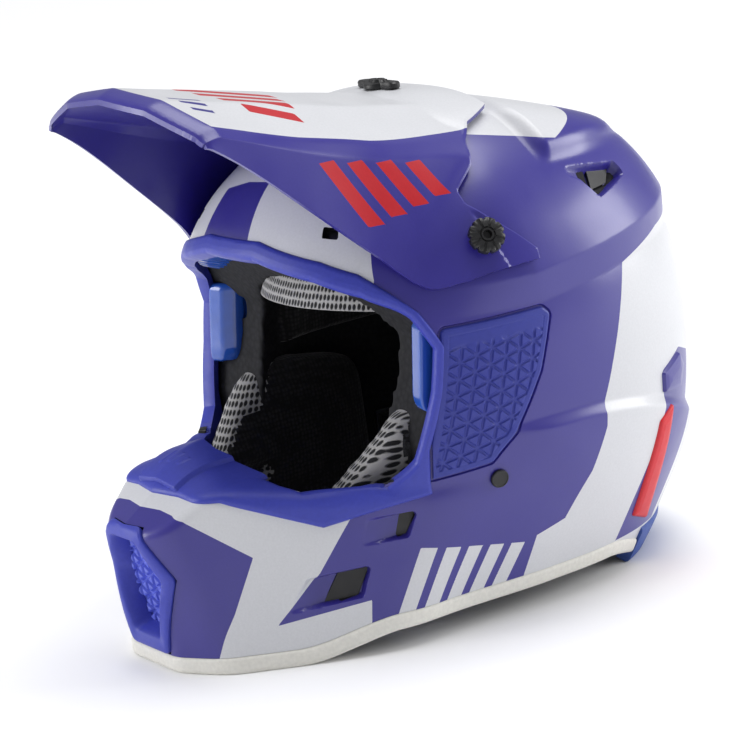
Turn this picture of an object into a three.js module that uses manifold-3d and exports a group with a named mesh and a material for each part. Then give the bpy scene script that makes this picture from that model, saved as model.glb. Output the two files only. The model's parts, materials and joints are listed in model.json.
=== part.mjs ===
// A motocross helmet: outer shell, visor on three screws, rubber trims, vents, foam liners,
// padding and chin strap. Millimetres, +Z up. The wearer faces -Y and has +X on the left.
// The helmet stands on the underside of its base trim, with the origin in the middle of its box.
import * as THREE from 'three';
import { mergeGeometries, mergeVertices } from 'three/addons/utils/BufferGeometryUtils.js';
import Module from 'manifold-3d';

const wasm = await Module();
wasm.setup();

// ---------------------------------------------------------------- driving dimensions

// Outer shell: a skull form that is widest at headAxisZ, and a chin bar of flat faces in front.
const skullHalfWidth = 121.5;
const skullCentreY = 35;
const headAxisZ = 118;
const crownRise = 133;
const skullFront = 138;
const skullRear = 134;
const skullSquareness = 2.25;
const crownSquareness = 2.5;
const skullScale = 110;
const baseTuckIn = 31.5;
const sideTaper = 1.7;
const napeTuckIn = 36;
const napeTaper = 2.7;
const castCentre = new THREE.Vector3(0, 10, headAxisZ);

// Shoulder ridge that runs round the back of the shell, and the raised plateau behind the visor.
const ridgeHeight = 4.5;
const ridgeStartZ = 162;
const ridgeLength = 15;
const ridgeSlope = 0.13;
const ridgeFrontY = -45;
const ridgeFullY = 15;
const plateauHeight = 4.5;
const plateauStartY = 40;
const plateauFullY = 50;
const plateauEdgeZ = 222;
const plateauFullZ = 236;

// Chin bar: half widths and reach at its front face.
const chinFrontY = -168;
const chinFrontHalfWidth = 14;
const chinTopZ = 74;
const chinSideHalfWidth = 112;
const chinBlendRadius = 8;

// Walls, clearances and how far pieces stand proud of the shell.
const shellWall = 4;
const clearance = 0.4;
const touchGap = 0.3;
const trimProud = 1.6;
const trimDepth = 6;
const trimWidth = 9;
const panelProud = 1.8;
const guardProud = 3.2;

// Base edge: the trim stands on its chin and nape ends and is arched between them.
const baseArch = 11;
const baseArchFrontY = -112;
const baseArchRearY = 66;
const baseArchRun = 40;
const baseTrimHeight = 9;
const rearTrimHeight = 19;
const neckRollFloorZ = rearTrimHeight + 0.6;
const rearTrimStartY = 88;
const baseTrimProud = 1;
const baseTrimInside = 2;

// Foam liner and the space for the head.
const headHalfWidth = 84;
const headFrontY = -62;
const headRearY = 142;
const headTopZ = 219;
const headSquareness = 2.3;
const napeFoamFloorZ = 22;
const faceFloorZ = 108;
const linerFaceY = -20;
const linerBrowZ = 190;
const linerEdgeZ = 124;
const sideFoamFloorZ = 30;
const faceFoamY = -96;
const faceFoamFloorZ = 180;
const sideFoamY = [-60, 66];
const linerThickness = 7;
const browPadThickness = 8;
const browPadHalfWidth = 62;
const browPadRearY = -26;
const browPadFloorZ = 172;
const browPadTopZ = 208;
const neckRollThickness = 14;
const neckRollFrontY = 100;
const neckRollTopZ = 60;
const browDuctRearY = -58;
const browDuctDepth = 16;
const templeInnerX = 79;
const chinFoamInset = 12.4;
const chinFoamDepth = 15;
const chinFoamHalfWidth = 78;
const chinFoamRearY = -66;
const chinFoamFloorZ = 14;
const chinFoamTopZ = 62;

// Cheek pads, which pull out downwards inside the base trim.
const cheekInnerX = 58;
const cheekOuterX = 80;
const cheekFrontY = -46;
const cheekRearY = 36;
const cheekBottomZ = 18;
const cheekTopZ = 112;
const cheekChamfer = [22, 34];
const cheekRoom = 1.2;

// Chin strap: one loop that swings on two anchors.
const strapPivotY = 58;
const strapPivotZ = 58;
const strapWidth = 18;
const strapThickness = 1.8;
const strapDropZ = 9;
const strapCornerX = 64;
const strapBendRadius = 22;
const strapTailX = -34;
const strapTailRise = 9.5;
const strapLoopRadius = 5;
const anchorPlateThickness = 2;
const anchorPlateHalf = 10;
const anchorRoom = 2;
const ringWire = 2.2;
const ringBarX = 27;
const ringBowX = 4;
const ringOverhang = 2.5;
const ringLift = 2.6;
const ringSpacing = 2.8;
const snapX = -22;
const snapRadius = 5;
const snapHeight = 2.4;

// Visor and its screws.
const visorThickness = 2.6;
const visorStand = 6.2;
const visorFrontBow = 6;
const visorWallPoints = 4;
const visorHingeY = -9;
const visorHingeZ = 196;
const topScrewY = 17;
const topScrewZ = 260.6;
const screwShankRadius = 2.6;
const screwHoleClearance = 0.5;
const screwEngagement = 9;
const washerGap = 0.8;
const sideKnobRadius = 9;
const sideKnobHeight = 5;
const knobFlutes = 8;
const knobFluteDepth = 1.26;
const collarHeight = 2;
const collarRadius = 4.5;
const topKnobRadius = 8;
const topKnobHeight = 4;
const topWingHalfLength = 16;
const topWingHalfWidth = 3.5;
const topWingHeight = 2.4;
const topSlotHalfLength = 8;
const nutRadius = 6.5;
const nutThickness = 4;
const nutGap = 1;
const nutRoom = 6;
const topNutHalfWidth = 7;
const topNutDrop = 5.5;

// Blind plugs on the sides, and the meshes behind the vents.
const plugY = -16.6;
const plugZ = 79;
const plugRadius = 4.7;
const plugShankRadius = 2.5;
const plugHeadHeight = 1.6;
const ventMeshThickness = 1.6;
const ventMeshLap = 2;
const grilleInset = 7;
const grilleThickness = 2;
const mouthFrameDepth = 10;
const mouthDepthY = [-200, -110];

// How finely the curved skins are cut into facets.
const skinColumns = 40;
const skinRows = 18;
const frontCrowding = 0.35;
const lowestElevation = -62;
const headColumns = 22;
const headRows = 7;
const axisSides = 10;
const flattestFacing = 0.45;
const far = 300;

// ---------------------------------------------------------------- materials

function paint(color, roughness, metalness = 0) {
  return new THREE.MeshStandardMaterial({ color, roughness, metalness });
}

const shellPaint = paint(0x3c34a0, 0.42);
const visorPlastic = paint(0x4038a8, 0.45);
const blueRubber = paint(0x4a55b8, 0.6);
const trimWhite = paint(0xe6e4de, 0.6);
const blackPlastic = paint(0x111114, 0.45);
const clearBlue = paint(0x1f57a8, 0.3);
const redPlastic = paint(0xc8101e, 0.5);
const foamGrey = paint(0x2a2b2e, 0.9);
const padFabric = paint(0x55565a, 0.95);
const webbing = paint(0x17171a, 0.85);
const steel = paint(0xb8babd, 0.3, 1);

// ---------------------------------------------------------------- solids

function toSolid(geometry) {
  const bare = geometry.clone();
  bare.deleteAttribute('normal');
  bare.deleteAttribute('uv');
  const merged = mergeVertices(bare, 1e-4);
  const vertProperties = new Float32Array(merged.attributes.position.array);
  const triVerts = new Uint32Array(merged.index.array);
  return new wasm.Manifold(new wasm.Mesh({ numProp: 3, vertProperties, triVerts }));
}

function toGeometry(solid) {
  const mesh = solid.getMesh();
  const geometry = new THREE.BufferGeometry();
  geometry.setAttribute('position', new THREE.BufferAttribute(mesh.vertProperties, 3));
  geometry.setIndex(new THREE.BufferAttribute(mesh.triVerts, 1));
  geometry.computeVertexNormals();
  return geometry;
}

function shapeFrom(points) {
  return new THREE.Shape(points.map(([a, b]) => new THREE.Vector2(a, b)));
}

function extrusion(shape, depth) {
  return new THREE.ExtrudeGeometry(shape, { depth, bevelEnabled: false, curveSegments: 6 });
}

// Prisms: an outline in (y, z), (x, z) or (x, y), carried along the third axis.
function prismAlongX(points, fromX, toX) {
  const geometry = extrusion(shapeFrom(points), toX - fromX);
  const basis = new THREE.Matrix4().makeBasis(
    new THREE.Vector3(0, 1, 0), new THREE.Vector3(0, 0, 1), new THREE.Vector3(1, 0, 0));
  return toSolid(geometry.applyMatrix4(basis).translate(fromX, 0, 0));
}

function prismAlongY(points, fromY, toY) {
  const geometry = extrusion(shapeFrom(points), toY - fromY);
  return toSolid(geometry.rotateX(Math.PI / 2).translate(0, toY, 0));
}

function prismAlongZ(points, fromZ, toZ) {
  return toSolid(extrusion(shapeFrom(points), toZ - fromZ).translate(0, 0, fromZ));
}

function box(fromX, toX, fromY, toY, fromZ, toZ) {
  const geometry = new THREE.BoxGeometry(toX - fromX, toY - fromY, toZ - fromZ);
  geometry.translate((fromX + toX) / 2, (fromY + toY) / 2, (fromZ + toZ) / 2);
  return toSolid(geometry);
}

function grow(points, amount) {
  const centreA = points.reduce((sum, p) => sum + p[0], 0) / points.length;
  const centreB = points.reduce((sum, p) => sum + p[1], 0) / points.length;
  const count = points.length;
  const turn = Math.sign(points.reduce((sum, p, i) => {
    const q = points[(i + 1) % count];
    return sum + (p[0] - centreA) * (q[1] - centreB) - (q[0] - centreA) * (p[1] - centreB);
  }, 0));
  return points.map((p, i) => {
    const before = points[(i + count - 1) % count];
    const after = points[(i + 1) % count];
    const normalIn = edgeNormal(before, p, turn);
    const normalOut = edgeNormal(p, after, turn);
    const share = amount / (1 + normalIn[0] * normalOut[0] + normalIn[1] * normalOut[1]);
    return [p[0] + (normalIn[0] + normalOut[0]) * share, p[1] + (normalIn[1] + normalOut[1]) * share];
  });
}

function edgeNormal(from, to, turn) {
  const run = to[0] - from[0];
  const rise = to[1] - from[1];
  const length = Math.hypot(run, rise);
  return [turn * rise / length, -turn * run / length];
}

// ---------------------------------------------------------------- the shell's form

function smoothMax(a, b, radius) {
  const share = THREE.MathUtils.clamp(0.5 - 0.5 * (b - a) / radius, 0, 1);
  return b * (1 - share) + a * share + radius * share * (1 - share);
}

function smoothMin(a, b, radius) {
  return -smoothMax(-a, -b, radius);
}

function planeDistance(point, normal, through) {
  const length = Math.hypot(...normal);
  const offset = (Math.abs(point.x) - through[0]) * normal[0]
    + (point.y - through[1]) * normal[1] + (point.z - through[2]) * normal[2];
  return offset / length;
}

function skull(point) {
  const below = Math.max(0, headAxisZ - point.z) / headAxisZ;
  const above = Math.max(0, point.z - headAxisZ) / crownRise;
  const halfWidth = skullHalfWidth - baseTuckIn * below ** sideTaper;
  const along = point.y - skullCentreY;
  const reach = along > 0 ? skullRear - napeTuckIn * below ** napeTaper : skullFront;
  const ring = (Math.abs(point.x) / halfWidth) ** skullSquareness
    + (Math.abs(along) / reach) ** skullSquareness;
  const form = (ring ** (crownSquareness / skullSquareness) + above ** crownSquareness)
    ** (1 / crownSquareness);
  return (form - 1) * skullScale;
}

function ridgeOffset(point) {
  const up = point.z - ridgeStartZ - ridgeSlope * Math.max(0, point.y - ridgeFullY);
  const rise = THREE.MathUtils.clamp(up / ridgeLength, 0, 1);
  return ridgeHeight * rise * THREE.MathUtils.smoothstep(point.y, ridgeFrontY, ridgeFullY);
}

function plateauOffset(point) {
  const along = THREE.MathUtils.smoothstep(point.y, plateauStartY, plateauFullY);
  return plateauHeight * along * THREE.MathUtils.smoothstep(point.z, plateauEdgeZ, plateauFullZ);
}

function crown(point) {
  let form = skull(point) - ridgeOffset(point) - plateauOffset(point);
  form = smoothMax(form, planeDistance(point, [0, 0.3, 0.955], [0, 52, 255.5]), 12);
  form = smoothMax(form, planeDistance(point, [0.2, 0.85, 0.48], [45, 160, 187]), 6);
  return form;
}

function chinBar(point) {
  const faces = [
    [[0.843, -0.537, 0.1], [100, -50, 50], 0],
    [[0.52, -0.85, -0.06], [chinFrontHalfWidth, chinFrontY, 60], 4],
    [[0, -1, -0.13], [0, chinFrontY, 70], 3],
    [[0.1, -0.55, 0.83], [0, chinFrontY - 1, chinTopZ], 4],
    [[0.3, -0.05, 0.95], [17, -144, 96], 6],
    [[0.97, 0, -0.24], [chinSideHalfWidth, 0, 95], 10],
    [[0, 1, 0], [0, 20, 0], 10],
  ];
  return faces.reduce((form, [normal, through, radius]) => {
    const distance = planeDistance(point, normal, through);
    return radius ? smoothMax(form, distance, radius) : Math.max(form, distance);
  }, -Infinity);
}

function shellForm(point) {
  return smoothMin(crown(point), chinBar(point), chinBlendRadius);
}

// The shell's surface on the ray from the given point, found by halving.
function castOut(from, direction, form = shellForm, reach = 260) {
  let low = 0;
  let high = reach;
  const probe = new THREE.Vector3();
  for (let step = 0; step < 30; step += 1) {
    const middle = (low + high) / 2;
    probe.copy(from).addScaledVector(direction, middle);
    if (form(probe) < 0) low = middle;
    else high = middle;
  }
  return (low + high) / 2;
}

function formNormal(point, form = shellForm) {
  const step = 0.5;
  const slope = (axis) => {
    const ahead = point.clone();
    const behind = point.clone();
    ahead[axis] += step;
    behind[axis] -= step;
    return form(ahead) - form(behind);
  };
  return new THREE.Vector3(slope('x'), slope('y'), slope('z')).normalize();
}

// Places on the shell's surface: the side at (y, z), the top at (x, y).
function sideX(y, z) {
  return castOut(new THREE.Vector3(0, y, z), new THREE.Vector3(1, 0, 0));
}

function sidePoint(y, z) {
  return new THREE.Vector3(sideX(y, z), y, z);
}

function topZ(x, y) {
  return headAxisZ + castOut(new THREE.Vector3(x, y, headAxisZ), new THREE.Vector3(0, 0, 1));
}

// A closed body whose surface lies at an even inset from a form; a negative inset is outside it.
function skin(inset, form = shellForm, centre = castCentre) {
  const rings = [];
  for (let row = 0; row < skinRows; row += 1) {
    const elevation = THREE.MathUtils.degToRad(
      lowestElevation + (90 - lowestElevation) * row / skinRows);
    rings.push(Array.from({ length: skinColumns }, (_, column) => {
      const turn = 2 * Math.PI * column / skinColumns;
      const azimuth = turn - frontCrowding * Math.sin(turn);
      return skinPoint(azimuth, elevation, inset, form, centre);
    }));
  }
  const top = skinPoint(0, Math.PI / 2, inset, form, centre);
  return toSolid(ringBody(rings, new THREE.Vector3(0, centre.y, centre.z - 230), top));
}

function skinPoint(azimuth, elevation, inset, form, centre) {
  const direction = new THREE.Vector3(
    Math.sin(azimuth) * Math.cos(elevation),
    -Math.cos(azimuth) * Math.cos(elevation),
    Math.sin(elevation));
  const reach = castOut(centre, direction, form);
  const surface = centre.clone().addScaledVector(direction, reach);
  const facing = Math.max(flattestFacing, formNormal(surface, form).dot(direction));
  return centre.clone().addScaledVector(direction, reach - inset / facing);
}

// A closed body from rings of points, with a point at each end.
function ringBody(rings, bottom, top) {
  const count = rings[0].length;
  const points = [...rings.flat(), bottom, top];
  const bottomIndex = points.length - 2;
  const topIndex = points.length - 1;
  const index = [];
  const lastRing = (rings.length - 1) * count;
  for (let column = 0; column < count; column += 1) {
    const next = (column + 1) % count;
    for (let row = 0; row + 1 < rings.length; row += 1) {
      const low = row * count;
      const high = low + count;
      const corners = [low + column, low + next, high + next, high + column];
      const [a, b, c, d] = column < count / 2 ? corners : [...corners.slice(1), corners[0]];
      index.push(a, b, c, a, c, d);
    }
    index.push(bottomIndex, next, column);
    index.push(topIndex, lastRing + column, lastRing + next);
  }
  const geometry = new THREE.BufferGeometry().setFromPoints(points);
  geometry.setIndex(index);
  return geometry;
}

// ---------------------------------------------------------------- outlines

// Eyeport, outside its trim: outlines from the side (y, z) and from the front (x, z).
const eyeportSide = [
  [-260, 215], [-88, 215], [-62, 188], [-44, 168], [-33, 150], [-37, 127], [-48, 92],
  [-62, 76], [-260, 76],
];
const eyeportFront = [
  [0, 204], [22, 203.5], [60, 195], [89, 184], [130, 168], [130, 70], [0, 70],
];

// The chin bar in front of the eyeport's lower rim: outlines from above (x, y) and the front (x, z).
const chinRimPlan = [[0, -120], [13, -120], [72, -92], [84, -84], [96, -260], [0, -260]];
const chinRimFront = [[0, 110], [20, 110], [72, 92], [84, 84], [120, 79], [120, 20], [0, 20]];
const mouthOuter = [[0, 76], [14, 76], [29, 50], [17, 9], [0, 9]];
const mouthInner = [[0, 70], [11, 70], [23, 49], [12.5, 16], [0, 16]];
const sidePanel = [
  [-31, 159], [15, 160], [19, 156], [9, 129], [-7, 102], [-20, 88], [-45, 86.5],
];
const chinVents = [
  [[-67, 57], [-64, 69], [-57, 69], [-62, 58.5]],
  [[-96, 29], [-88, 43], [-80, 43.5], [-86, 31]],
];
const rearVent = [[74.5, 215.7], [87.4, 213], [82, 208.3], [71.5, 208]];
const browVent = [[54, 210], [61, 209], [63.5, 204], [56, 205]];
const rearInsert = [[101, 89], [93, 24], [77, 31], [88, 82]];
const noseGuard = [[0, -145], [17.6, -145], [20, -134], [40, -119], [40, -96], [0, -96]];

// The trim's wings on the chin bar, from the front (x, z), in front of wingRearY.
const trimWing = [[40, 130], [40, 81.5], [49.6, 78.1], [69.6, 67.5], [100, 88], [100, 130]];
const wingRearY = -52;
const templeBlock = [[-33, 178], [-14, 178], [-14, 128], [-33, 130]];
const browDuct = [[-62, 203], [62, 203], [62, 190], [-62, 190]];

function mirrored(half) {
  const other = half.filter(([a]) => a > 0).map(([a, b]) => [-a, b]).reverse();
  return [...half, ...other];
}

function eyeportOpening(inset) {
  const side = prismAlongX(grow(eyeportSide, -inset), -200, 200);
  const front = prismAlongY(grow(mirrored(eyeportFront), -inset), -260, 60);
  const chinPlan = prismAlongZ(grow(mirrored(chinRimPlan), inset), 0, 200);
  const chin = chinPlan.intersect(prismAlongY(mirrored(chinRimFront), -300, 0));
  return side.intersect(front).subtract(chin);
}

// The base edge as an outline in (y, z), raised by the given amount.
function belowBase(raise) {
  const outline = [
    [-300, -160], [300, -160], [300, raise], [baseArchRearY + baseArchRun, raise],
    [baseArchRearY, raise + baseArch], [baseArchFrontY + baseArchRun, raise + baseArch],
    [baseArchFrontY, raise], [-300, raise],
  ];
  return prismAlongX(outline, -200, 200);
}

function behind(y) {
  return box(-200, 200, y, 400, -160, 400);
}

function belowRearTrim(lower) {
  return box(-200, 200, rearTrimStartY - 0.1, 400, -160, rearTrimHeight - lower);
}

// ---------------------------------------------------------------- the space inside

function headForm(point) {
  const centreY = (headFrontY + headRearY) / 2;
  const halfLength = (headRearY - headFrontY) / 2;
  const above = Math.max(0, point.z - headAxisZ) / (headTopZ - headAxisZ);
  const ring = (Math.abs(point.x) / headHalfWidth) ** headSquareness
    + (Math.abs(point.y - centreY) / halfLength) ** headSquareness;
  return ((ring + above ** headSquareness) ** (1 / headSquareness) - 1) * headHalfWidth;
}

const headCentre = new THREE.Vector3(0, (headFrontY + headRearY) / 2, headAxisZ);

// The head space, shrunk by an inset: a dome over a straight neck.
function headSpace(inset) {
  const rings = [headRing(inset, -0.001).map((p) => p.clone().setZ(-60))];
  for (let row = 0; row < headRows; row += 1) {
    rings.push(headRing(inset, Math.PI / 2 * row / headRows));
  }
  const bottom = headCentre.clone().setZ(-60);
  const top = headCentre.clone().setZ(headTopZ - inset);
  return toSolid(ringBody(rings, bottom, top));
}

function headRing(inset, elevation) {
  return Array.from({ length: headColumns }, (_, column) => {
    const azimuth = 2 * Math.PI * column / headColumns;
    return skinPoint(azimuth, elevation, inset, headForm, headCentre);
  });
}

// ---------------------------------------------------------------- the object

const helmet = new THREE.Group();
const skins = new Map();

function shellSkin(inset) {
  if (!skins.has(inset)) skins.set(inset, skin(inset));
  return skins.get(inset);
}

function layer(outerInset, innerInset) {
  return shellSkin(outerInset).subtract(shellSkin(innerInset));
}

function add(name, solid, material) {
  const geometry = solid instanceof THREE.BufferGeometry ? solid : toGeometry(solid);
  const mesh = new THREE.Mesh(geometry, material);
  mesh.name = name;
  helmet.add(mesh);
  return mesh;
}

function mirrorX(solid) {
  return solid.mirror([1, 0, 0]);
}

function addPair(name, solid, material) {
  add(`${name}_left`, solid, material);
  add(`${name}_right`, mirrorX(solid), material);
}

function buildShell() {
  let shell = layer(0, shellWall);
  shell = shell.subtract(belowBase(baseTrimHeight)).subtract(belowRearTrim(0));
  shell = shell.subtract(eyeportOpening(0));
  shell = shell.subtract(mouthPrism(grow(mirrored(mouthOuter), touchGap)));
  const openings = [
    ...[...chinVents, rearVent].map(sideOutline), frontOutline(browVent),
    sideScrewPart(screwShankRadius + screwHoleClearance, -24, 10),
    plugPart(plugShankRadius + touchGap, -14, 10),
  ];
  for (const opening of openings) shell = shell.subtract(opening).subtract(mirrorX(opening));
  return shell.subtract(topSlot());
}

function topSlot() {
  const half = screwShankRadius + screwHoleClearance;
  return box(-half, half, topScrewY - topSlotHalfLength, topScrewY + topSlotHalfLength, 200, 300);
}

// A ring in the opening's edge, with wings that lie on the chin bar under its lower rim.
function buildEyeportTrim() {
  const ring = layer(-trimProud, trimDepth).intersect(eyeportOpening(touchGap));
  const wing = patch(prismAlongY(trimWing, -200, wingRearY), -trimProud, -touchGap);
  const whole = ring.add(wing).add(mirrorX(wing));
  return whole.subtract(eyeportOpening(trimWidth));
}

function baseBand() {
  return layer(-baseTrimProud, shellWall + baseTrimInside).subtract(belowBase(0));
}

function buildBaseTrim() {
  const band = baseBand().intersect(belowBase(baseTrimHeight - touchGap));
  return band.subtract(behind(rearTrimStartY - 0.1 - touchGap));
}

function buildRearTrim() {
  return baseBand().intersect(belowRearTrim(touchGap));
}

// Patches: a layer of the shell's surface inside an outline.
function patch(outline, outer, inner) {
  return layer(outer, inner).intersect(outline);
}

function sideOutline(points) {
  return prismAlongX(points, 40, 160);
}

function frontOutline(points) {
  return prismAlongY(points, -160, -20);
}

function buildNoseGuard() {
  const plan = prismAlongZ(mirrored(noseGuard), 60, 130);
  const wing = prismAlongY(grow(trimWing, touchGap), -200, wingRearY);
  const guard = patch(plan, -guardProud, -touchGap).subtract(eyeportOpening(-touchGap));
  return guard.subtract(wing).subtract(mirrorX(wing));
}

function mouthPrism(points) {
  return prismAlongY(points, ...mouthDepthY);
}

function buildMouthFrame() {
  const plate = patch(mouthPrism(mirrored(mouthOuter)), -trimProud, mouthFrameDepth);
  return plate.subtract(mouthPrism(mirrored(mouthInner)));
}

function buildVentGrille() {
  const outline = mouthPrism(grow(mirrored(mouthInner), -touchGap));
  return patch(outline, grilleInset, grilleInset + grilleThickness);
}

// The hard blue blocks at the temples and the duct under the brow fill the liner's front edge.
function templeSpace(room) {
  return prismAlongX(grow(templeBlock, room), templeInnerX - room, 150);
}

function cheekSpace(room) {
  const profile = [
    [cheekFrontY, cheekBottomZ], [cheekRearY, cheekBottomZ], [cheekRearY, cheekTopZ],
    [cheekFrontY + cheekChamfer[0], cheekTopZ], [cheekFrontY, cheekTopZ - cheekChamfer[1]],
  ];
  return prismAlongX(grow(profile, room), cheekInnerX - room, cheekOuterX + room);
}

function browDuctSpace(room) {
  return prismAlongY(grow(browDuct, room), -160, browDuctRearY + room);
}

// Where the liner ends below: [from y, to y, height of its lower edge].
const linerOpenBelow = [
  [-far, cheekFrontY + 2, faceFloorZ], [-far, faceFoamY, faceFoamFloorZ],
  [...sideFoamY, sideFoamFloorZ], [sideFoamY[0], far, napeFoamFloorZ],
];

function buildLiner() {
  let liner = shellSkin(shellWall + clearance).subtract(headSpace(0));
  liner = liner.subtract(eyeportOpening(-1)).subtract(browDuctSpace(touchGap));
  for (const [fromY, toY, topZ] of linerOpenBelow) {
    liner = liner.subtract(box(-far, far, fromY, toY, -far, topZ));
  }
  const hollows = [
    templeSpace(touchGap), cheekSpace(cheekRoom), nutSpace(), anchorSpace(),
    sideOutline(grow(rearVent, ventMeshLap + 1)), frontOutline(grow(browVent, ventMeshLap + 1)),
  ];
  for (const hollow of hollows) liner = liner.subtract(hollow).subtract(mirrorX(hollow));
  return liner.subtract(topNutSpace());
}

function buildChinFoam() {
  const block = layer(chinFoamInset, chinFoamInset + chinFoamDepth);
  return block.intersect(box(-chinFoamHalfWidth, chinFoamHalfWidth, -far, chinFoamRearY,
    chinFoamFloorZ, chinFoamTopZ));
}

function buildLinerPads() {
  const dome = headSpace(touchGap).subtract(headSpace(linerThickness));
  const face = box(-far, far, -far, linerFaceY, -far, linerBrowZ);
  const crownZone = box(-far, far, -far, far, linerEdgeZ, 2 * far).subtract(face);
  add('crown_liner', dome.intersect(crownZone).subtract(browZone(touchGap)), padFabric);
  const brow = headSpace(touchGap).subtract(headSpace(browPadThickness));
  add('brow_pad', brow.intersect(browZone(0)), padFabric);
  const nape = headSpace(touchGap).subtract(headSpace(neckRollThickness))
    .intersect(skin(shellWall + clearance));
  add('neck_roll', nape.intersect(box(-far, far, neckRollFrontY, far, neckRollFloorZ,
    neckRollTopZ)), padFabric);
}

function browZone(room) {
  const half = browPadHalfWidth + room;
  return box(-half, half, -far, browPadRearY + room, browPadFloorZ - room, browPadTopZ);
}

// ---------------------------------------------------------------- visor

// Half sections of the visor's outside: [x, z] at its roof middle, roof edge, crease, wall and lip.
const visorStations = [
  { y: -140, roof: [[0, 289], [36, 285.5], [62, 275]], wall: [[67, 271.5], [68.6, 267]] },
  { y: -122, roof: [[0, 285.5], [39, 281.5], [66, 270]], wall: [[71.5, 265.5], [74, 254]] },
  { y: -90, roof: [[0, 279.5], [43, 275], [72.5, 260]], wall: [[77, 254], [83, 226]] },
  { y: -60, roof: [[0, 273.8], [44, 269], [75, 253.5]], wall: [[80.5, 245], [91.5, 198]] },
];
const visorNearShell = [
  { y: -42, heights: [241, 212, 196, 180], roofs: [[0, 270], [44, 265], [77, 249]], least: 83 },
  { y: -27, heights: [239, 212, 196, 180], roofs: [[0, 267.4], [44, 262.5], [76, 247]], least: 84 },
  { y: -10, heights: [237, 212, 197, 183], roofs: [[0, 264.4], [44, 260], [75, 246]], least: 86 },
  { y: 14, heights: [234, 208, 196, 185], roofs: [[0, 260.8], [44, 257], [74, 245]], least: 89 },
  { y: 48, heights: [231, 206, 195, 185], roofs: [[0, 260], [44, 257], [74, 245]], least: 89 },
];
const visorRear = [
  [12, 150], [14.5, 190], [5, 200], [-11, 215], [-11.5, 221], [2, 231], [8, 241], [18, 248.5],
  [38, 253.5], [40, 300], [160, 300], [160, 150],
];

// Points of the visor's outside, moved up or outwards to stand clear of the shell beneath them.
function roofClear(y, x, z) {
  return [x, Math.max(z, topZ(x, y) + visorStand)];
}

function wallClear(y, x, z) {
  return [Math.max(x, sideX(y, z) + visorStand), z];
}

function section(y, roofs, wall) {
  const roof = roofs.map(([x, z]) => roofClear(y, x, z));
  const edge = roof.at(-1);
  const chamfer = roofClear(y, (edge[0] + wall[0][0]) / 2, (edge[1] + wall[0][1]) / 2);
  return [...roof, chamfer, ...wall];
}

function nearShellSection({ y, heights, roofs, least }) {
  const creaseZ = heights[0];
  const lipZ = heights.at(-1);
  const [creaseX] = wallClear(y, least, creaseZ);
  const [lipX] = wallClear(y, 0, lipZ);
  const wall = heights.map((z) => wallClear(
    y, creaseX + (lipX - creaseX) * (creaseZ - z) / (creaseZ - lipZ), z));
  return section(y, roofs, wall);
}

function freeSection({ y, roof, wall: [top, lip] }) {
  const wall = Array.from({ length: visorWallPoints }, (_, i) => {
    const share = i / (visorWallPoints - 1);
    return wallClear(
      y, top[0] + (lip[0] - top[0]) * share, top[1] + (lip[1] - top[1]) * share);
  });
  return section(y, roof, wall);
}

function visorSections() {
  const free = visorStations.map((station) => ({ y: station.y, half: freeSection(station) }));
  const near = visorNearShell.map((station) => ({ y: station.y, half: nearShellSection(station) }));
  const frontHalfWidth = free[0].half.at(-1)[0];
  return [...free, ...near].map(({ y, half: corners }, i) => {
    const bow = i === 0 ? visorFrontBow : 0;
    const half = corners.map(
      ([x, z]) => new THREE.Vector3(x, y - bow * (1 - x / frontHalfWidth), z));
    const other = half.slice(1).map((p) => new THREE.Vector3(-p.x, p.y, p.z)).reverse();
    return [...other, ...half];
  });
}

// A sheet of even thickness from a grid of points on its outside.
function sheetBody(grid, thickness) {
  const rows = grid.length;
  const columns = grid[0].length;
  const inner = grid.map((row, i) => row.map((point, j) => {
    const along = grid[Math.min(i + 1, rows - 1)][j].clone().sub(grid[Math.max(i - 1, 0)][j]);
    const across = row[Math.min(j + 1, columns - 1)].clone().sub(row[Math.max(j - 1, 0)]);
    return point.clone().addScaledVector(across.cross(along).normalize(), -thickness);
  }));
  const points = [...grid.flat(), ...inner.flat()];
  const below = rows * columns;
  const index = [];
  const quad = (a, b, c, d) => index.push(a, b, c, a, c, d);
  for (let i = 0; i + 1 < rows; i += 1) {
    const here = i * columns;
    const there = here + columns;
    for (let j = 0; j + 1 < columns; j += 1) {
      quad(here + j, here + j + 1, there + j + 1, there + j);
      quad(below + here + j, below + there + j, below + there + j + 1, below + here + j + 1);
    }
    quad(here, there, below + there, below + here);
    const end = columns - 1;
    quad(here + end, below + here + end, below + there + end, there + end);
  }
  const last = (rows - 1) * columns;
  for (let j = 0; j + 1 < columns; j += 1) {
    quad(j, below + j, below + j + 1, j + 1);
    quad(last + j, last + j + 1, below + last + j + 1, below + last + j);
  }
  const geometry = new THREE.BufferGeometry().setFromPoints(points);
  geometry.setIndex(index);
  return toSolid(geometry);
}

function buildVisor() {
  const sheet = sheetBody(visorSections(), visorThickness);
  let visor = sheet.subtract(prismAlongX(visorRear, -200, 200));
  for (const side of [1, -1]) {
    const bore = sideScrewPart(screwShankRadius + screwHoleClearance, -30, 30);
    visor = visor.subtract(side > 0 ? bore : mirrorX(bore));
  }
  return visor.subtract(topScrewPart(screwShankRadius + screwHoleClearance, -40, 40));
}

// ---------------------------------------------------------------- screws and nuts

// Where the left screw's axis leaves the shell, and the direction it points.
const sideSeat = sidePoint(visorHingeY, visorHingeZ);
const sideAxis = formNormal(sideSeat);
const topSeat = new THREE.Vector3(
  0, topScrewY, Math.max(topScrewZ, topZ(0, topScrewY) + visorStand));

function toTopScrew(geometry) {
  return geometry.rotateX(Math.PI / 2).translate(topSeat.x, topSeat.y, topSeat.z);
}

// Pieces on a screw's axis are drawn along +Y, with 0 at the seat, before they are placed.
function onAxis(radius, from, to) {
  const rod = new THREE.CylinderGeometry(radius, radius, to - from, axisSides);
  return rod.translate(0, (from + to) / 2, 0);
}

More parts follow.
